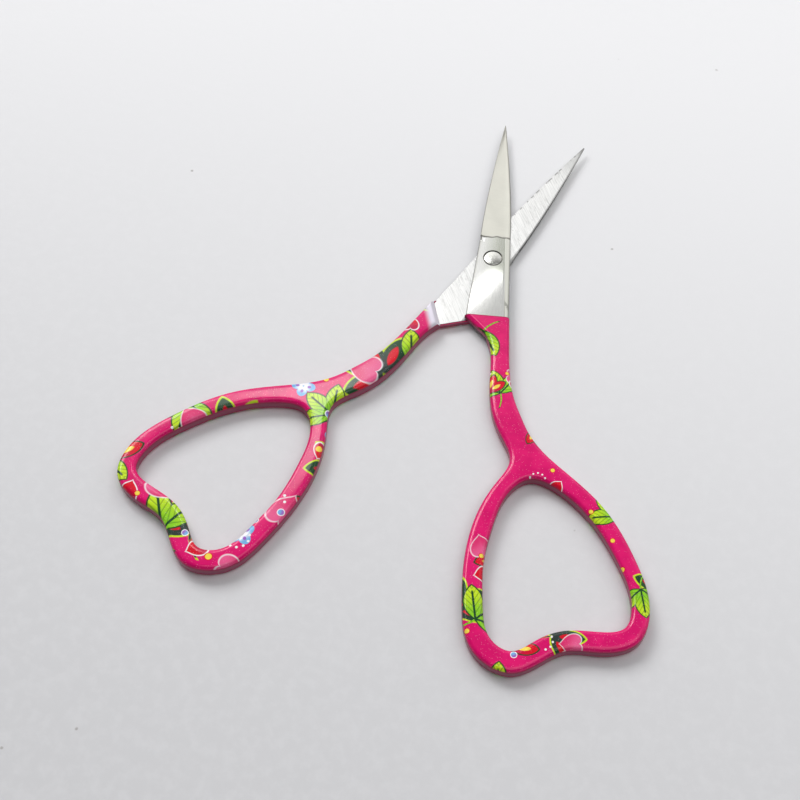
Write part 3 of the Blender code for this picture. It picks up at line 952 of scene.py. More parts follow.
# ---- curves and solids -----------------------------------------------------------------------
def spline(knots: Sequence[Sequence[float]], closed: bool, step: float = 0.5,
           turn: float = 3.0) -> np.ndarray:
    """Points on a smooth cubic curve through the knots, closer together where it bends.

    Args:
        knots: the points that it passes.
        closed: whether it joins up with its start.
        step: the longest distance between points, in millimetres.
        turn: the most degrees that it bends between points.

    Returns:
        The points, one row each.
    """
    knots = np.array(knots, dtype=float)
    loop = np.vstack([knots, knots[:1]]) if closed else knots
    chord = np.hypot(*np.diff(loop, axis=0).T)
    slopes = np.diff(loop, axis=0) / chord[:, None]
    count = len(loop)
    system = np.zeros((count, count))
    right = np.zeros_like(loop)
    for i in range(1, count - 1):
        system[i, i - 1:i + 2] = chord[i], 2 * (chord[i - 1] + chord[i]), chord[i - 1]
        right[i] = 3 * (chord[i] * slopes[i - 1] + chord[i - 1] * slopes[i])
    if closed:
        system[0, [0, 1, -2]] = 2 * (chord[-1] + chord[0]), chord[-1], chord[0]
        right[0] = 3 * (chord[0] * slopes[-1] + chord[-1] * slopes[0])
        system[-1, [0, -1]] = 1, -1
    else:
        system[0, :2] = system[-1, :-3:-1] = 2, 1
        right[0], right[-1] = 3 * slopes[0], 3 * slopes[-1]
    tangents = np.linalg.solve(system, right)
    headings = np.unwrap(np.arctan2(tangents[:, 1], tangents[:, 0]))
    points = []
    for i, length in enumerate(chord):
        bend = math.degrees(abs(headings[i + 1] - headings[i]))
        pieces = max(2, math.ceil(length / step), math.ceil(bend / turn))
        for t in np.arange(pieces) / pieces:
            leave = (1 - t)**2 * ((1 + 2 * t) * loop[i] + t * length * tangents[i])
            arrive = t**2 * ((3 - 2 * t) * loop[i + 1] - (1 - t) * length * tangents[i + 1])
            points.append(leave + arrive)
    if not closed:
        points.append(loop[-1])
    return np.array(points)


def inset(loop: np.ndarray, distance: float) -> np.ndarray:
    """Move a loop inwards, with its corners mitred.

    Args:
        loop: the loop's points, counterclockwise.
        distance: how far in, in the loop's own unit; below 0 it moves outwards.

    Returns:
        The moved points, one for each.
    """
    before = loop - np.roll(loop, 1, axis=0)
    before /= np.hypot(*before.T)[:, None]
    after = np.roll(before, -1, axis=0)
    normal_before = np.column_stack([-before[:, 1], before[:, 0]])
    normal_after = np.column_stack([-after[:, 1], after[:, 0]])
    middle = normal_before + normal_after
    scale = 2 / np.maximum((middle**2).sum(axis=1), 0.5)
    return loop + distance * middle * scale[:, None]


def thinned(loop: np.ndarray) -> np.ndarray:
    """Every fourth point of a loop whose last three points are corners that stay."""
    return np.vstack([loop[:-3:4], loop[-3:]])


def eased(high: float, ease: float) -> list[tuple[float, float]]:
    """A bar's section as (depth in, height) rows, with its four corners cut."""
    return [(ease, -high), (0, ease - high), (0, high - ease), (ease, high)]


def linked(name: str, data: Union[bpy.types.Mesh, bpy.types.Light, bpy.types.Camera]
           ) -> bpy.types.Object:
    """Put a mesh, light or camera into the scene.

    Args:
        name: the object's name.
        data: what it is.

    Returns:
        The object.
    """
    item = bpy.data.objects.new(name, data)
    bpy.context.scene.collection.objects.link(item)
    return item


def as_object(name: str, bm: bmesh.types.BMesh) -> bpy.types.Object:
    """Make a mesh object of a body whose faces are all there, and turn them outwards.

    Args:
        name: the object's name.
        bm: the body, which is used up.

    Returns:
        The object.
    """
    bmesh.ops.recalc_face_normals(bm, faces=bm.faces)
    mesh = bpy.data.meshes.new(name)
    bm.to_mesh(mesh)
    bm.free()
    return linked(name, mesh)


def solid(name: str, verts: Iterable[Sequence[float]], faces: Iterable[Sequence[int]]
          ) -> bpy.types.Object:
    """Make a closed mesh object.

    Args:
        name: the object's name.
        verts: its points, in millimetres.
        faces: each face's point numbers.

    Returns:
        The object.
    """
    bm = bmesh.new()
    points = [bm.verts.new(Vector(vert) * MM) for vert in verts]
    for face in faces:
        bm.faces.new([points[i] for i in face])
    return as_object(name, bm)


def rings(name: str, sections: Sequence[Sequence[Sequence[float]]]) -> bpy.types.Object:
    """Stretch a body through rings and close it with flat ends.

    Args:
        name: the object's name.
        sections: the rings, each with the same count of points.

    Returns:
        The body.
    """
    count = len(sections[0])
    verts = [point for section in sections for point in section]
    faces = []
    for row in range(len(sections) - 1):
        for i in range(count):
            j = (i + 1) % count
            a, b = row * count, (row + 1) * count
            faces.append((a + i, a + j, b + j, b + i))
    faces.append(tuple(range(count)))
    faces.append(tuple(range(len(verts) - count, len(verts))))
    return solid(name, verts, faces)


def turned(name: str, profile: Sequence[tuple[float, float]], sides: int = 96
           ) -> bpy.types.Object:
    """Turn a solid of revolution about Z.

    Args:
        name: the object's name.
        profile: (radius, z) rows that start and end on the axis.
        sides: how many flats it has round the axis.

    Returns:
        The solid.
    """
    verts = [(0, 0, profile[0][1]), (0, 0, profile[-1][1])]
    rows = []
    for radius, z in profile[1:-1]:
        rows.append(range(len(verts), len(verts) + sides))
        for k in range(sides):
            turn = 2 * math.pi * k / sides
            verts.append((radius * math.cos(turn), radius * math.sin(turn), z))
    faces = []
    for k in range(sides):
        n = (k + 1) % sides
        faces.append((0, rows[0][n], rows[0][k]))
        for lower, upper in zip(rows, rows[1:]):
            faces.append((lower[k], lower[n], upper[n], upper[k]))
        faces.append((1, rows[-1][k], rows[-1][n]))
    return solid(name, verts, faces)


def band(name: str, outline: np.ndarray, hole: np.ndarray,
         section: Sequence[tuple[float, float]]) -> bpy.types.Object:
    """Make a flat bar with a hole through it, its sides shaped by a section.

    Args:
        name: the object's name.
        outline: the outer loop, counterclockwise.
        hole: the inner loop, counterclockwise.
        section: (depth in from the side, height) rows from the bottom face to the top face.

    Returns:
        The bar.
    """
    bm = bmesh.new()
    rims = []
    for loop, side in ((outline, 1), (hole, -1)):
        layers = []
        for depth, z in section:
            layers.append([bm.verts.new((x * MM, y * MM, z * MM))
                           for x, y in inset(loop, side * depth)])
        for lower, upper in zip(layers, layers[1:]):
            for i in range(len(loop)):
                j = (i + 1) % len(loop)
                bm.faces.new((lower[i], lower[j], upper[j], upper[i]))
        rims.append((layers[0], layers[-1]))
    for level in (0, 1):
        edges = []
        for rim in rims:
            ring = rim[level]
            edges += [bm.edges.get((ring[i], ring[i - 1])) for i in range(len(ring))]
        bmesh.ops.triangle_fill(bm, edges=edges, use_beauty=True)
    return as_object(name, bm)


def worked(item: bpy.types.Object, *steps: tuple[str, bpy.types.Object]) -> bpy.types.Object:
    """Join or cut a solid with tools, which are used up.

    Args:
        item: the solid.
        steps: pairs of the operation and its tool, in order.

    Returns:
        The same object with its new mesh.
    """
    for operation, tool in steps:
        modifier = item.modifiers.new(tool.name, "BOOLEAN")
        modifier.operation = operation
        modifier.solver = "EXACT"
        modifier.object = tool
    graph = bpy.context.evaluated_depsgraph_get()
    mesh = bpy.data.meshes.new_from_object(item.evaluated_get(graph))
    item.modifiers.clear()
    item.data = mesh
    for _, tool in steps:
        bpy.data.objects.remove(tool, do_unlink=True)
    return item


def settled(item: bpy.types.Object, stand: Matrix) -> None:
    """Move a piece's mesh to where it stands, keeping each vertex's own place with it.

    Args:
        item: the piece, in its own frame.
        stand: where it stands.
    """
    mesh = item.data
    own = np.empty(len(mesh.vertices) * 3, dtype=np.float32)
    mesh.vertices.foreach_get("co", own)
    attribute = mesh.attributes.new(OWN_FRAME, "FLOAT_VECTOR", "POINT")
    attribute.data.foreach_set("vector", own / MM)
    mesh.transform(stand)


def smoothed(item: bpy.types.Object, angle: float = 30.0) -> None:
    """Shade a piece smooth except at its real edges."""
    item.data.shade_smooth()
    item.data.set_sharp_from_angle(angle=math.radians(angle))


# ---- the halves ------------------------------------------------------------------------------
class Side(Enum):
    """The two halves: the front one lies on top at the pivot and shows its outer face."""

    FRONT = "front"
    REAR = "rear"

    def stand(self, spread: float, lift: float) -> Matrix:
        """Where this half stands: turned out from the blades' middle line, the rear one over.

        Args:
            spread: half the open angle, in degrees.
            lift: the height of the sliding plane, in millimetres.

        Returns:
            The half's place in the scene.
        """
        turn = Matrix.Rotation(math.radians(spread), 4, "Z")
        if self is Side.REAR:
            turn = Matrix.Rotation(math.pi, 4, "Y") @ turn
        return Matrix.Translation((0, 0, lift * MM)) @ turn


# rows of (share of the shoulder's run, share of its fall), from its foot to past the inner face
SHOULDER_RAMP = ((0.0, 0.0), (0.10, 0.12), (0.30, 0.34), (0.56, 0.64), (0.78, 0.86),
                 (0.95, 0.96), (1.25, 1.0), (1.6, 1.02), (1.6, 3.0))


def shoulder_tool(back_off: float) -> bpy.types.Object:
    """Shape what grinding the inner face takes away, up to the shoulder's eased ramp.

    Args:
        back_off: how far the shoulder stands back from where the other half's corner meets it.

    Returns:
        The cutting tool.
    """
    along = Vector((1, 1, 0)).normalized()
    away = Vector((1, -1, 0)).normalized()
    foot = Vector((SIZES.slant_x, SIZES.crotch, 0)) + away * back_off
    sections = []
    for run, fall in SHOULDER_RAMP:
        z = SIZES.ground - fall * (SIZES.half_height + SIZES.ground)
        row = []
        for side, depth in ((-1, 0), (1, 0), (1, SIZES.far), (-1, SIZES.far)):
            point = foot + away * (run * SIZES.shoulder_run)
            point += along * side * SIZES.far - away * depth
            row.append((point.x, point.y, z))
        sections.append(row)
    return rings("shoulder tool", sections)


@dataclass(frozen=True)
class HandleShape:
    """The outline of a handle: slanted corner, shank, neck and heart-shaped bow.

    Each row of `hole` is a knot round the finger hole: its shares of the hole's width and
    length, and the band's width there as a share of its plain width. Each row of `shank` is a
    place down the shank as a share of its length, with the shank's middle and its width there
    as shares of its plain width. The neck's rows are shares of that width and of `hole_top`.
    """

    shank_length: float = 21.7
    shank_width: float = 3.0
    band_width: float = 2.7
    hole_width: float = 21.15
    hole_length: float = 27.65
    hole_side: float = 2.65
    hole_top: float = 40.7
    hole: tuple[tuple[float, float, float], ...] = (
        (0.280, 0.000, 0.90), (0.138, 0.089, 0.93), (0.048, 0.279, 1.06),
        (0.000, 0.529, 1.06), (0.018, 0.761, 1.11), (0.100, 0.954, 1.20),
        (0.217, 0.998, 1.22), (0.373, 0.932, 1.17), (0.540, 0.865, 1.14),
        (0.780, 0.848, 1.17), (0.962, 0.811, 1.07), (1.000, 0.711, 0.97),
        (0.914, 0.471, 0.95), (0.700, 0.204, 1.02), (0.460, 0.043, 1.18))
    shank: tuple[tuple[float, float, float], ...] = (
        (0.08, 0.753, 1.05), (0.38, 0.951, 1.09), (0.52, 1.115, 1.257), (0.66, 1.417, 1.46))
    neck_outer: tuple[tuple[float, float], ...] = ((4.64, 0.963), (3.49, 0.889), (2.61, 0.806))
    neck_inner: tuple[tuple[float, float], ...] = ((1.25, 0.832), (1.74, 0.925))

    def hole_knots(self) -> np.ndarray:
        """Place the knots round the finger hole.

        Returns:
            The knots, counterclockwise from the arch at the neck.
        """
        return np.array([(self.hole_side + across * self.hole_width,
                          -self.hole_top - down * self.hole_length)
                         for across, down, _ in self.hole])

    def finger_hole(self) -> np.ndarray:
        """The finger hole's loop."""
        return spline(self.hole_knots(), closed=True)

    def bow_knots(self) -> np.ndarray:
        """Move the hole's knots out by the band's width there.

        Returns:
            The bow's outer knots, without the arch's own.
        """
        knots = self.hole_knots()
        along = np.roll(knots, -1, axis=0) - np.roll(knots, 1, axis=0)
        along /= np.hypot(*along.T)[:, None]
        outward = np.column_stack([along[:, 1], -along[:, 0]])
        widths = np.array([share * self.band_width for _, _, share in self.hole])
        return (knots + outward * widths[:, None])[1:-1]

    def shank_knots(self, edge: int) -> list[tuple[float, float]]:
        """Find the knots down one side of the shank.

        Args:
            edge: 1 for the cutting edge's side and -1 for the spine's.

        Returns:
            The knots, in millimetres.
        """
        return [((middle + edge * width / 2) * self.shank_width,
                 SIZES.crotch - down * self.shank_length)
                for down, middle, width in self.shank]

    def neck_knots(self, knots: Sequence[tuple[float, float]]) -> list[tuple[float, float]]:
        """Knots of the neck, in millimetres."""
        return [(across * self.shank_width, -down * self.hole_top) for across, down in knots]

    def outline(self) -> np.ndarray:
        """Draw the coat's outer loop: down the spine side, round and back up.

        Returns:
            The loop, counterclockwise, with three square corners past the coat's end.
        """
        spine_x = -SIZES.spine_width - SIZES.proud
        edge_x = SIZES.edge_width + SIZES.proud
        knots = [(spine_x + SIZES.slant_run, SIZES.crotch), *self.shank_knots(-1),
                 *self.neck_knots(self.neck_inner), *self.bow_knots(),
                 *self.neck_knots(self.neck_outer), *self.shank_knots(1)[::-1],
                 (edge_x, SIZES.coat_end)]
        top = SIZES.coat_end + SIZES.beyond
        corners = [(edge_x, top), (spine_x, top), (spine_x, SIZES.coat_end)]
        return np.vstack([spline(knots, closed=False), corners])


@dataclass(frozen=True)
class LacquerCoat:
    """The printed lacquer shell round one handle, domed by its own surface tension."""

    shape: HandleShape
    round_over: float = 0.62         # radius of the shell's rounded shoulders
    crown: float = 0.07              # what the top's slight dome adds to the height
    crown_reach: float = 1.02        # how far in from the side it becomes level
    sharpest: float = 40.0           # the least angle that stays a sharp edge, in degrees
    round_steps: int = 9
    crown_steps: int = 4

    def section(self) -> list[tuple[float, float]]:
        """Shape the shell's side.

        Returns:
            (depth in, height) rows, from the bottom face round to the top face.
        """
        depths = []
        for k in range(self.round_steps + 1):
            turn = math.pi / 2 * k / self.round_steps
            depths.append(self.round_over * (1 - math.cos(turn)))
        step = (self.crown_reach - self.round_over) / self.crown_steps
        depths += [self.round_over + step * (k + 1) for k in range(self.crown_steps)]
        rows = []
        for depth in depths:
            shy = max(0.0, 1 - depth / self.round_over)
            drop = self.round_over * (1 - math.sqrt(1 - shy**2))
            drop += self.crown * (1 - depth / self.crown_reach)**2
            rows.append((depth, SIZES.half_height - drop))
        return [(depth, -z) for depth, z in reversed(rows)] + rows

    def build(self, side: Side, finish: bpy.types.Material) -> bpy.types.Object:
        """The coat of one handle.

        Args:
            side: which half it is on.
            finish: the printed lacquer.

        Returns:
            The finished piece, in its own frame.
        """
        outline, hole = self.shape.outline(), self.shape.finger_hole()
        coat = band(f"{side.value}_lacquer_coat", outline, hole, self.section())
        inner = SIZES.half_height - SIZES.coat
        cavity = band("cavity", inset(outline, SIZES.coat), inset(hole, -SIZES.coat),
                      eased(inner, self.round_over - SIZES.coat))
        worked(cavity, ("DIFFERENCE", shoulder_tool(SIZES.shoulder_gap + SIZES.coat)))
        worked(coat, ("DIFFERENCE", self.above_end()),
               ("DIFFERENCE", shoulder_tool(SIZES.shoulder_gap)), ("DIFFERENCE", cavity))
        coat.data.materials.clear()
        coat.data.materials.append(finish)
        smoothed(coat, self.sharpest)
        return coat

    def above_end(self) -> bpy.types.Object:
        """Shape everything on the blade's side of the coat's end.

        Returns:
            The cutting tool.
        """
        wide, far = SIZES.spine_width * 3, SIZES.coat_end + SIZES.beyond * 2
        high = SIZES.half_height + SIZES.beyond
        floor = [(-wide, SIZES.coat_end), (wide, SIZES.coat_end), (wide, far), (-wide, far)]
        return rings("coat end tool", [[(x, y, z) for x, y in floor] for z in (-high, high)])


class Zone(Enum):
    """Where a face of a steel half lies, by its finish's place among the half's materials."""

    BLADE = 0
    JOINT = 1
    INNER = 2


@dataclass(frozen=True)
class SteelHalf:
    """One forging: hollow-ground blade, polished joint, and the core inside the coat."""

    shape: HandleShape
    spine_thickness: float = 0.95    # of the blade at its step
    tip_thickness: float = 0.35
    bevel_width: float = 0.25        # of the bevel behind the cutting edge
    bevel_height: float = 0.22
    land: float = 0.08               # the cutting edge's own upright
    spine_ease: float = 0.12         # cut off the spine's corner
    hollow: float = 1.7              # how late the outer face rises towards the spine
    chamfer_width: float = 0.8       # along the joint's edge side
    chamfer_depth: float = 0.25
    ease: float = 0.15               # cut off the joint's other corner
    blank_bottom: float = -0.5       # below the inner face until it is ground away
    step_run: float = 0.1            # from the step's top to its foot
    off_coat: float = 0.03           # between the coat's end and where the joint starts
    core_ease: float = 0.3
    top_curve: float = 1.6           # how late the joint's top falls towards the step
    pivot_fall: float = 0.17         # the share of that fall which is reached at the pivot
    mouth: float = 0.10              # how wide the counterbore's lip is eased
    lip_fall: float = 0.06
    lip_rise: float = 0.02
    tool_flare: float = 0.6          # how much wider the tool is past its work
    squarely: float = 0.9            # how much of a normal points down on the inner face
    closely: float = 0.01            # and how near the ground plane such a face lies
    step_slack: float = 0.02         # how far past the step a face of the blade lies
    across_steps: int = 18
    blade_steps: int = 56
    joint_steps: int = 14

    def section(self, y: float, lower: Sequence[float], upper: Sequence[tuple[float, float]],
                back: float) -> list[tuple[float, float, float]]:
        """Close a ring round the half at y.

        Args:
            y: place along the half.
            lower: the spine, the edge and how high the edge's own wall stands.
            upper: (x, z) places over the outer face, from the edge's side to the spine's.
            back: the height of the spine's wall.

        Returns:
            The ring's points.
        """
        spine, edge, rise = lower
        ring = [(spine, y, self.blank_bottom), (edge, y, self.blank_bottom), (edge, y, rise)]
        ring += [(x, y, z) for x, z in upper]
        return ring + [(spine, y, back)]

    def across(self, inner: float, outer: float) -> list[tuple[float, float]]:
        """Space the outer face's points.

        Args:
            inner: where the face starts, at the edge's side.
            outer: where it ends, at the spine's side.

        Returns:
            (share of the way, x) rows.
        """
        shares = [k / self.across_steps for k in range(self.across_steps + 1)]
        return [(share, inner + (outer - inner) * share) for share in shares]

    def blade_section(self, y: float) -> list[tuple[float, float, float]]:
        """Shape the blade at y: flat underside, then edge to spine over the hollow.

        Args:
            y: place along the blade.

        Returns:
            A ring of points.
        """
        edge, spine = SIZES.blade_sides(y)
        back = self.spine_thickness
        back += (self.tip_thickness - self.spine_thickness) * SIZES.blade_share(y)
        inner = edge - min(self.bevel_width, (edge - spine) / 3)
        outer = spine + min(self.spine_ease, (edge - spine) / 3)
        upper = []
        for share, x in self.across(inner, outer):
            rise = self.bevel_height + (back - self.bevel_height) * share**self.hollow
            upper.append((x, SIZES.ground + rise))
        return self.section(y, (spine, edge, SIZES.ground + self.land), upper,
                            SIZES.ground + back - self.spine_ease)

    def joint_section(self, y: float) -> list[tuple[float, float, float]]:
        """Shape the joint at y: flat underside, chamfered edge side, eased spine side.

        Args:
            y: place along the joint.

        Returns:
            A ring of points.
        """
        edge, spine = SIZES.joint_sides(y)
        top = SIZES.joint_top - SIZES.fall * (1 - SIZES.joint_share(y))**self.top_curve
        upper = [(x, top) for _, x in self.across(edge - self.chamfer_width, spine + self.ease)]
        return self.section(y, (spine, edge, top - self.chamfer_depth), upper, top - self.ease)

    def blank(self) -> bpy.types.Object:
        """Stretch the blade and joint, with the step where the grinding wheel stopped.

        Returns:
            The blank, still thick below.
        """
        start, first = SIZES.coat_end + self.off_coat, SIZES.grind_end + self.step_run
        sections = [self.joint_section(start + (SIZES.grind_end - start) * k / self.joint_steps)
                    for k in range(self.joint_steps + 1)]
        sections += [self.blade_section(first + (SIZES.tip - first) * k / self.blade_steps)
                     for k in range(self.blade_steps + 1)]
        for row in (self.joint_steps, self.joint_steps + 1):
            sections[row] = [(x, y + SIZES.step_wander(x), z) for x, y, z in sections[row]]
        return rings("steel half", sections)

    def core(self) -> bpy.types.Object:
        """Shape the steel inside the coat.

        Returns:
            The core, whole and not yet ground at the shoulder.
        """
        cover = SIZES.coat + SIZES.core_room
        outline = thinned(self.shape.outline())
        hole = thinned(self.shape.finger_hole())
        return band("core", inset(outline, cover), inset(hole, -cover),
                    eased(SIZES.half_height - cover, self.core_ease))

    def seat(self, side: Side) -> bpy.types.Object:
        """Shape the rivet's hole, with a counterbore for the head or a countersink for the tail.

        Args:
            side: which half it is in.

        Returns:
            The cutting tool.
        """
        hole = SIZES.shank_radius + SIZES.shank_gap
        top = SIZES.joint_top + SIZES.beyond
        low = -SIZES.beyond
        if side is Side.FRONT:
            wall = SIZES.head_radius + SIZES.groove
            floor = SIZES.joint_top - SIZES.head_height
            face = SIZES.joint_top - SIZES.fall * self.pivot_fall
            rows = [(0, low), (hole, low), (hole, floor), (wall, floor),
                    (wall, face - self.lip_fall), (wall + self.mouth, face + self.lip_rise),
                    (wall + self.tool_flare, top), (0, top)]
        else:
            wall = SIZES.tail_radius + SIZES.shank_gap
            start = SIZES.half_height - SIZES.tail_depth
            rows = [(0, low), (hole, low), (hole, start - SIZES.shank_gap),
                    (wall, SIZES.half_height - SIZES.shank_gap), (wall, top), (0, top)]
        return turned("rivet seat", rows)

    def zone(self, face: bpy.types.MeshPolygon) -> Zone:
        """Tell where a face lies.

        Args:
            face: a face of the half, in its own frame.

        Returns:
            Its zone.
        """
        x, y, z = face.center / MM
        if face.normal.z < -self.squarely and abs(z - SIZES.ground) < self.closely:
            return Zone.INNER
        past_step = y - SIZES.step_wander(x) - SIZES.grind_end > self.step_slack
        return Zone.BLADE if past_step else Zone.JOINT

    def build(self, side: Side, satin: bpy.types.Material, polished: bpy.types.Material,
              ground: bpy.types.Material) -> bpy.types.Object:
        """One steel half.

        Args:
            side: which half it is.
            satin: the finish of the blade's hollow outer face.
            polished: the finish of the joint.
            ground: the finish of the flat inner face.

        Returns:
            The finished piece, in its own frame.
        """
        steel = self.blank()
        steel.name = steel.data.name = f"{side.value}_steel_half"
        gap = SIZES.shoulder_gap + SIZES.coat + SIZES.core_room
        worked(steel, ("UNION", self.core()), ("DIFFERENCE", shoulder_tool(gap)),
               ("DIFFERENCE", self.seat(side)))
        mesh = steel.data
        mesh.materials.clear()
        for finish in (satin, polished, ground):
            mesh.materials.append(finish)
        for face in mesh.polygons:
            face.material_index = self.zone(face).value
        smoothed(steel)
        return steel


@dataclass(frozen=True)
class Rivet:
    """The pivot: a domed head in the front half, and a tail peened flush behind."""

    dome: float = 0.10
    rim: float = 0.07            # the radius that the head's rim is rounded to
    stand: float = 0.02          # how far the rim stands above the joint's lowest top
    tail_ease: float = 0.04      # how far the tail's corner is eased in, and up
    tail_rise: float = 0.03
    sharpest: float = 50.0       # the least angle that stays a sharp edge, in degrees
    rim_steps: int = 4
    dome_steps: int = 12

    def build(self, finish: bpy.types.Material) -> bpy.types.Object:
        """The rivet.

        Args:
            finish: its steel.

        Returns:
            The finished piece, standing about the sliding plane's height.
        """
        under = SIZES.joint_top - SIZES.head_height + SIZES.shank_gap
        head, tail, shank = SIZES.head_radius, SIZES.tail_radius, SIZES.shank_radius
        top = SIZES.joint_top - SIZES.fall + self.stand
        rows = [(0, -SIZES.half_height), (tail - self.tail_ease, -SIZES.half_height),
                (tail, -SIZES.half_height + self.tail_rise),
                (shank, -SIZES.half_height + SIZES.tail_depth), (shank, under),
                (head, under), (head, top - self.rim)]
        for k in range(1, self.rim_steps + 1):
            turn = math.pi / 2 * k / self.rim_steps
            rows.append((head - self.rim * (1 - math.cos(turn)),
                         top - self.rim * (1 - math.sin(turn))))
        for k in range(1, self.dome_steps):
            share = 1 - k / self.dome_steps
            rows.append(((head - self.rim) * share, top + self.dome * (1 - share**2)))
        rows.append((0, top + self.dome))
        rivet = turned("domed_rivet", rows)
        rivet.data.materials.append(finish)
        smoothed(rivet, self.sharpest)
        return rivet


# ---- the studio ------------------------------------------------------------------------------
BACKDROP = 0.80     # how pale the plain backdrop is, where 1 is white


@dataclass(frozen=True)
class Paper:
    """The sheet of pale paper that the scissors lie on, which fades into a plain backdrop."""

    # painted shade: the paper darkens from far to near, in place of light falloff
    near: Colour = (0.55, 0.55, 0.565)
    far: Colour = (0.845, 0.845, 0.86)
    pale: Colour = (0.80, 0.80, 0.82)
    fleck: Colour = (0.30, 0.28, 0.27)
    shaded: tuple[float, float] = (-150, 95)     # from near to far, in millimetres
    fading: tuple[float, float] = (260, 700)     # out from the pivot, in millimetres
    reach: float = 3.0                           # half its side, in metres
    below: float = 0.02                          # under the scissors, in millimetres

    def finish(self) -> bpy.types.Material:
        """Mix the paper's painted shade, its grain, its flecks of dust and the backdrop that it
        ends in.

        Returns:
            The material.
        """
        graph = Graph.of_finish("pale_paper")
        x, y, _ = graph.point()
        grain = graph.noise(graph.vector(x * 0.5, y * 0.5, 0), detail=4, roughness=0.6)
        gap, own = graph.specks(graph.vector(x * 0.11, y * 0.11, 0))
        dust = (gap + grain * 0.10).ramp(0.085, 0.062) * own.ramp(0.55, 0.75)
        gone = graph.distance(x, y).ramp(*self.fading) * graph.seen()
        shade = graph.layered(self.near,
                              (self.far, y.ramp(*self.shaded)),
                              (self.pale, grain.ramp(0.6, 0.3) * 0.12),
                              (self.fleck, dust * 0.7),
                              (BLACK, gone))
        return graph.finish(base_color=shade, roughness=0.9, specular_ior_level=0.2,
                            emission_color=(BACKDROP,) * 3, emission_strength=gone,
                            normal=graph.relief(grain, 0.03))

    def build(self) -> bpy.types.Object:
        """Lay the sheet.

        Returns:
            The sheet.
        """
        r = self.reach
        mesh = bpy.data.meshes.new("paper_sheet")
        mesh.from_pydata([(-r, -r, 0), (r, -r, 0), (r, r, 0), (-r, r, 0)], [], [(0, 1, 2, 3)])
        mesh.materials.append(self.finish())
        sheet = linked("paper_sheet", mesh)
        sheet.location.z = CAD_BOX[0][2] - self.below * MM
        settled(sheet, Matrix.Identity(4))
        return sheet


@dataclass(frozen=True)
class Panel:
    """One soft light panel, aimed at the pivot."""

    name: str
    place: tuple[float, float, float]    # in metres, as its size is
    size: tuple[float, float]
    radiance: float                      # how bright it looks, where 1 is white
    roll: float = 0.0                    # about its own axis, in degrees

    def build(self) -> bpy.types.Object:
        """Hang the panel.

        Returns:
            The light.
        """
        light = bpy.data.lights.new(self.name, "AREA")
        light.shape = "RECTANGLE"
        light.size, light.size_y = self.size
        light.energy = 4 * self.radiance * self.size[0] * self.size[1]
        item = linked(self.name, light)
        item.location = self.place
        turn = Vector(self.place).to_track_quat("Z", "Y").to_matrix()
        turn @= Matrix.Rotation(math.radians(self.roll), 3, "Z")
        item.rotation_euler = turn.to_euler()
        return item


@dataclass(frozen=True)
class Room:
    """What lies round the table: a dim ceiling, and a pale wall behind that is lit from the left.

    The steel mirrors the room itself. Seen directly, past the edge of the paper, it is a plain
    pale backdrop. Directions are given by the parts of a unit vector: x is right, y is away and
    z is up. Each pair holds where a patch starts and where it is full.
    """

    ceiling: float = 0.24            # how bright each part is, where 1 is white
    skirting: float = 0.45
    wall: float = 0.82
    lit_wall: float = 1.34
    low_wall: float = 0.76           # what the wall gains lower down, except at its right
    near_side: float = 0.2           # the share that is left on the viewer's side
    near_low: float = 0.5            # and the share at its foot
    wall_top: tuple[float, float] = (0.87, 0.80)
    wall_foot: tuple[float, float] = (0.30, 0.60)
    wall_side: tuple[float, float] = (0.0, 0.35)
    lit_side: tuple[float, float] = (-0.145, -0.175)
    low_top: tuple[float, float] = (0.752, 0.722)
    low_side: tuple[float, float] = (0.30, 0.18)
    above_skirting: tuple[float, float] = (0.25, 0.45)
    towards_viewer: tuple[float, float] = (0.30, -0.15)

    def build(self) -> bpy.types.World:
        """Paint the room's walls by their direction.

        Returns:
            The world.
        """
        graph = Graph(bpy.data.worlds.new("studio_room"), "Background")
        x, y, z = graph.parts(graph.node("ShaderNodeTexCoord").outputs["Generated"])
        behind = z.ramp(*self.wall_top) * y.ramp(*self.wall_side) * z.ramp(*self.wall_foot)
        lit = x.ramp(*self.lit_side) * (self.lit_wall - self.wall) + (self.wall - self.ceiling)
        lit += z.ramp(*self.low_top) * x.ramp(*self.low_side) * self.low_wall
        high = z.ramp(*self.above_skirting)
        round_about = high * (self.ceiling - self.skirting) + self.skirting
        dim = high * (self.near_low - self.near_side) + (1 - self.near_low)
        round_about *= 1 - y.ramp(*self.towards_viewer) * dim
        seen = graph.seen()
        strength = (lit * behind + round_about) * (1 - seen) + seen * BACKDROP
        return graph.finish(color=(1.0, 1.0, 1.0), strength=strength)


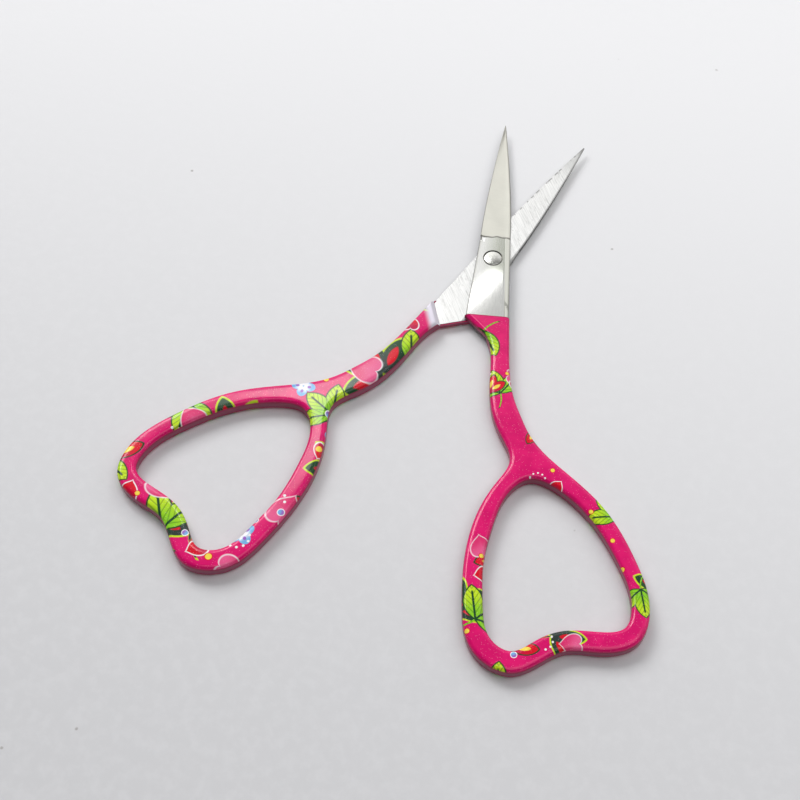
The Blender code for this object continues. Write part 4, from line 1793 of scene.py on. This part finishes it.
@dataclass(frozen=True)
class Studio:
    """Paper, light and camera."""

    elevation: float = 57.0          # of the camera, in degrees, as its bearing is
    bearing: float = -19.98
    distance: float = 0.22885        # from what it is aimed at, in metres
    lens: float = 67.5
    sensor: float = 36.0
    aim: tuple[float, float, float] = (-0.00474, -0.03123, 0.0025)
    paper: Paper = Paper()
    room: Room = Room()
    panels: tuple[Panel, ...] = (
        Panel("left_softbox", (-0.195, 0.315, 0.60), (0.085, 0.10), 7.0),
        Panel("joint_card", (-0.1246, 0.4452, 0.6102), (0.0102, 0.060), 1.9, -34.0),
        Panel("far_left_panel", (-0.80, 0.55, 0.90), (0.6, 0.6), 5.7),
        Panel("ceiling_panel", (0.385, -0.185, 1.35), (1.4, 1.2), 1.2),
        Panel("back_right_panel", (0.75, 0.75, 0.90), (0.6, 0.6), 0.4),
    )

    def camera(self) -> bpy.types.Object:
        """Stand the camera where it looks down at the scissors.

        Returns:
            The camera.
        """
        camera = bpy.data.cameras.new("camera")
        camera.lens, camera.sensor_width = self.lens, self.sensor
        item = linked("camera", camera)
        turn = Matrix.Rotation(math.radians(-self.bearing), 4, "Z")
        turn @= Matrix.Rotation(math.radians(90 - self.elevation), 4, "X")
        item.matrix_world = (Matrix.Translation(self.aim) @ turn
                             @ Matrix.Translation((0, 0, self.distance)))
        return item

    def build(self) -> None:
        """Lay the paper, light the table and place the camera."""
        self.paper.build()
        for panel in self.panels:
            panel.build()
        bpy.context.scene.world = self.room.build()
        bpy.context.scene.camera = self.camera()
        bpy.context.scene.view_settings.view_transform = "Standard"


# ---- assembly --------------------------------------------------------------------------------
@dataclass
class Scissors:
    """The whole pair: two halves and their rivet."""

    shape: HandleShape

    def place(self, piece: bpy.types.Object, stand: Matrix, node: str, slot: str,
              body: str) -> None:
        """Stand a piece in its place and let it ride on its body.

        Args:
            piece: the finished piece, in its own frame.
            stand: where that frame stands.
            node: the CAD node that the piece stands for.
            slot: a material slot's name, which is not used.
            body: the body that it moves with.
        """
        settled(piece, stand)
        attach(piece, body)
        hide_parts(node)
        LOG.info("%s: %d faces", piece.name, len(piece.data.polygons))

    def build(self) -> None:
        """Build, dress and place every piece."""
        steels = SatinSteel().build(), PolishedSteel().build(), GroundSteel().build()
        films = {
            Side.FRONT: PrintedLacquer("front_printed_lacquer", shift=(22.0, -35.0),
                                       density=0.7, scale=1.0).build(),
            Side.REAR: PrintedLacquer("rear_printed_lacquer", shift=(18.0, -60.0),
                                      density=1.5, scale=1.3).build(),
        }
        for side in Side:
            stand = side.stand(SIZES.open_angle / 2, SIZES.half_height)
            steel = SteelHalf(self.shape).build(side, *steels)
            self.place(steel, stand, f"{side.value}_half", "bare_steel", side.value)
            coat = LacquerCoat(self.shape).build(side, films[side])
            self.place(coat, stand, f"{side.value}_handle_coat", "printed_lacquer", side.value)
        rivet = Rivet().build(RivetSteel().build())
        stand = Matrix.Translation((0, 0, SIZES.half_height * MM))
        self.place(rivet, stand, "pivot_rivet", "rivet_steel", "rear")


def main() -> None:
    """Build the scissors in their studio."""
    logging.basicConfig(level=logging.INFO, format="%(message)s")
    Scissors(HandleShape()).build()
    Studio().build()


if __name__ == "__main__":
    main()
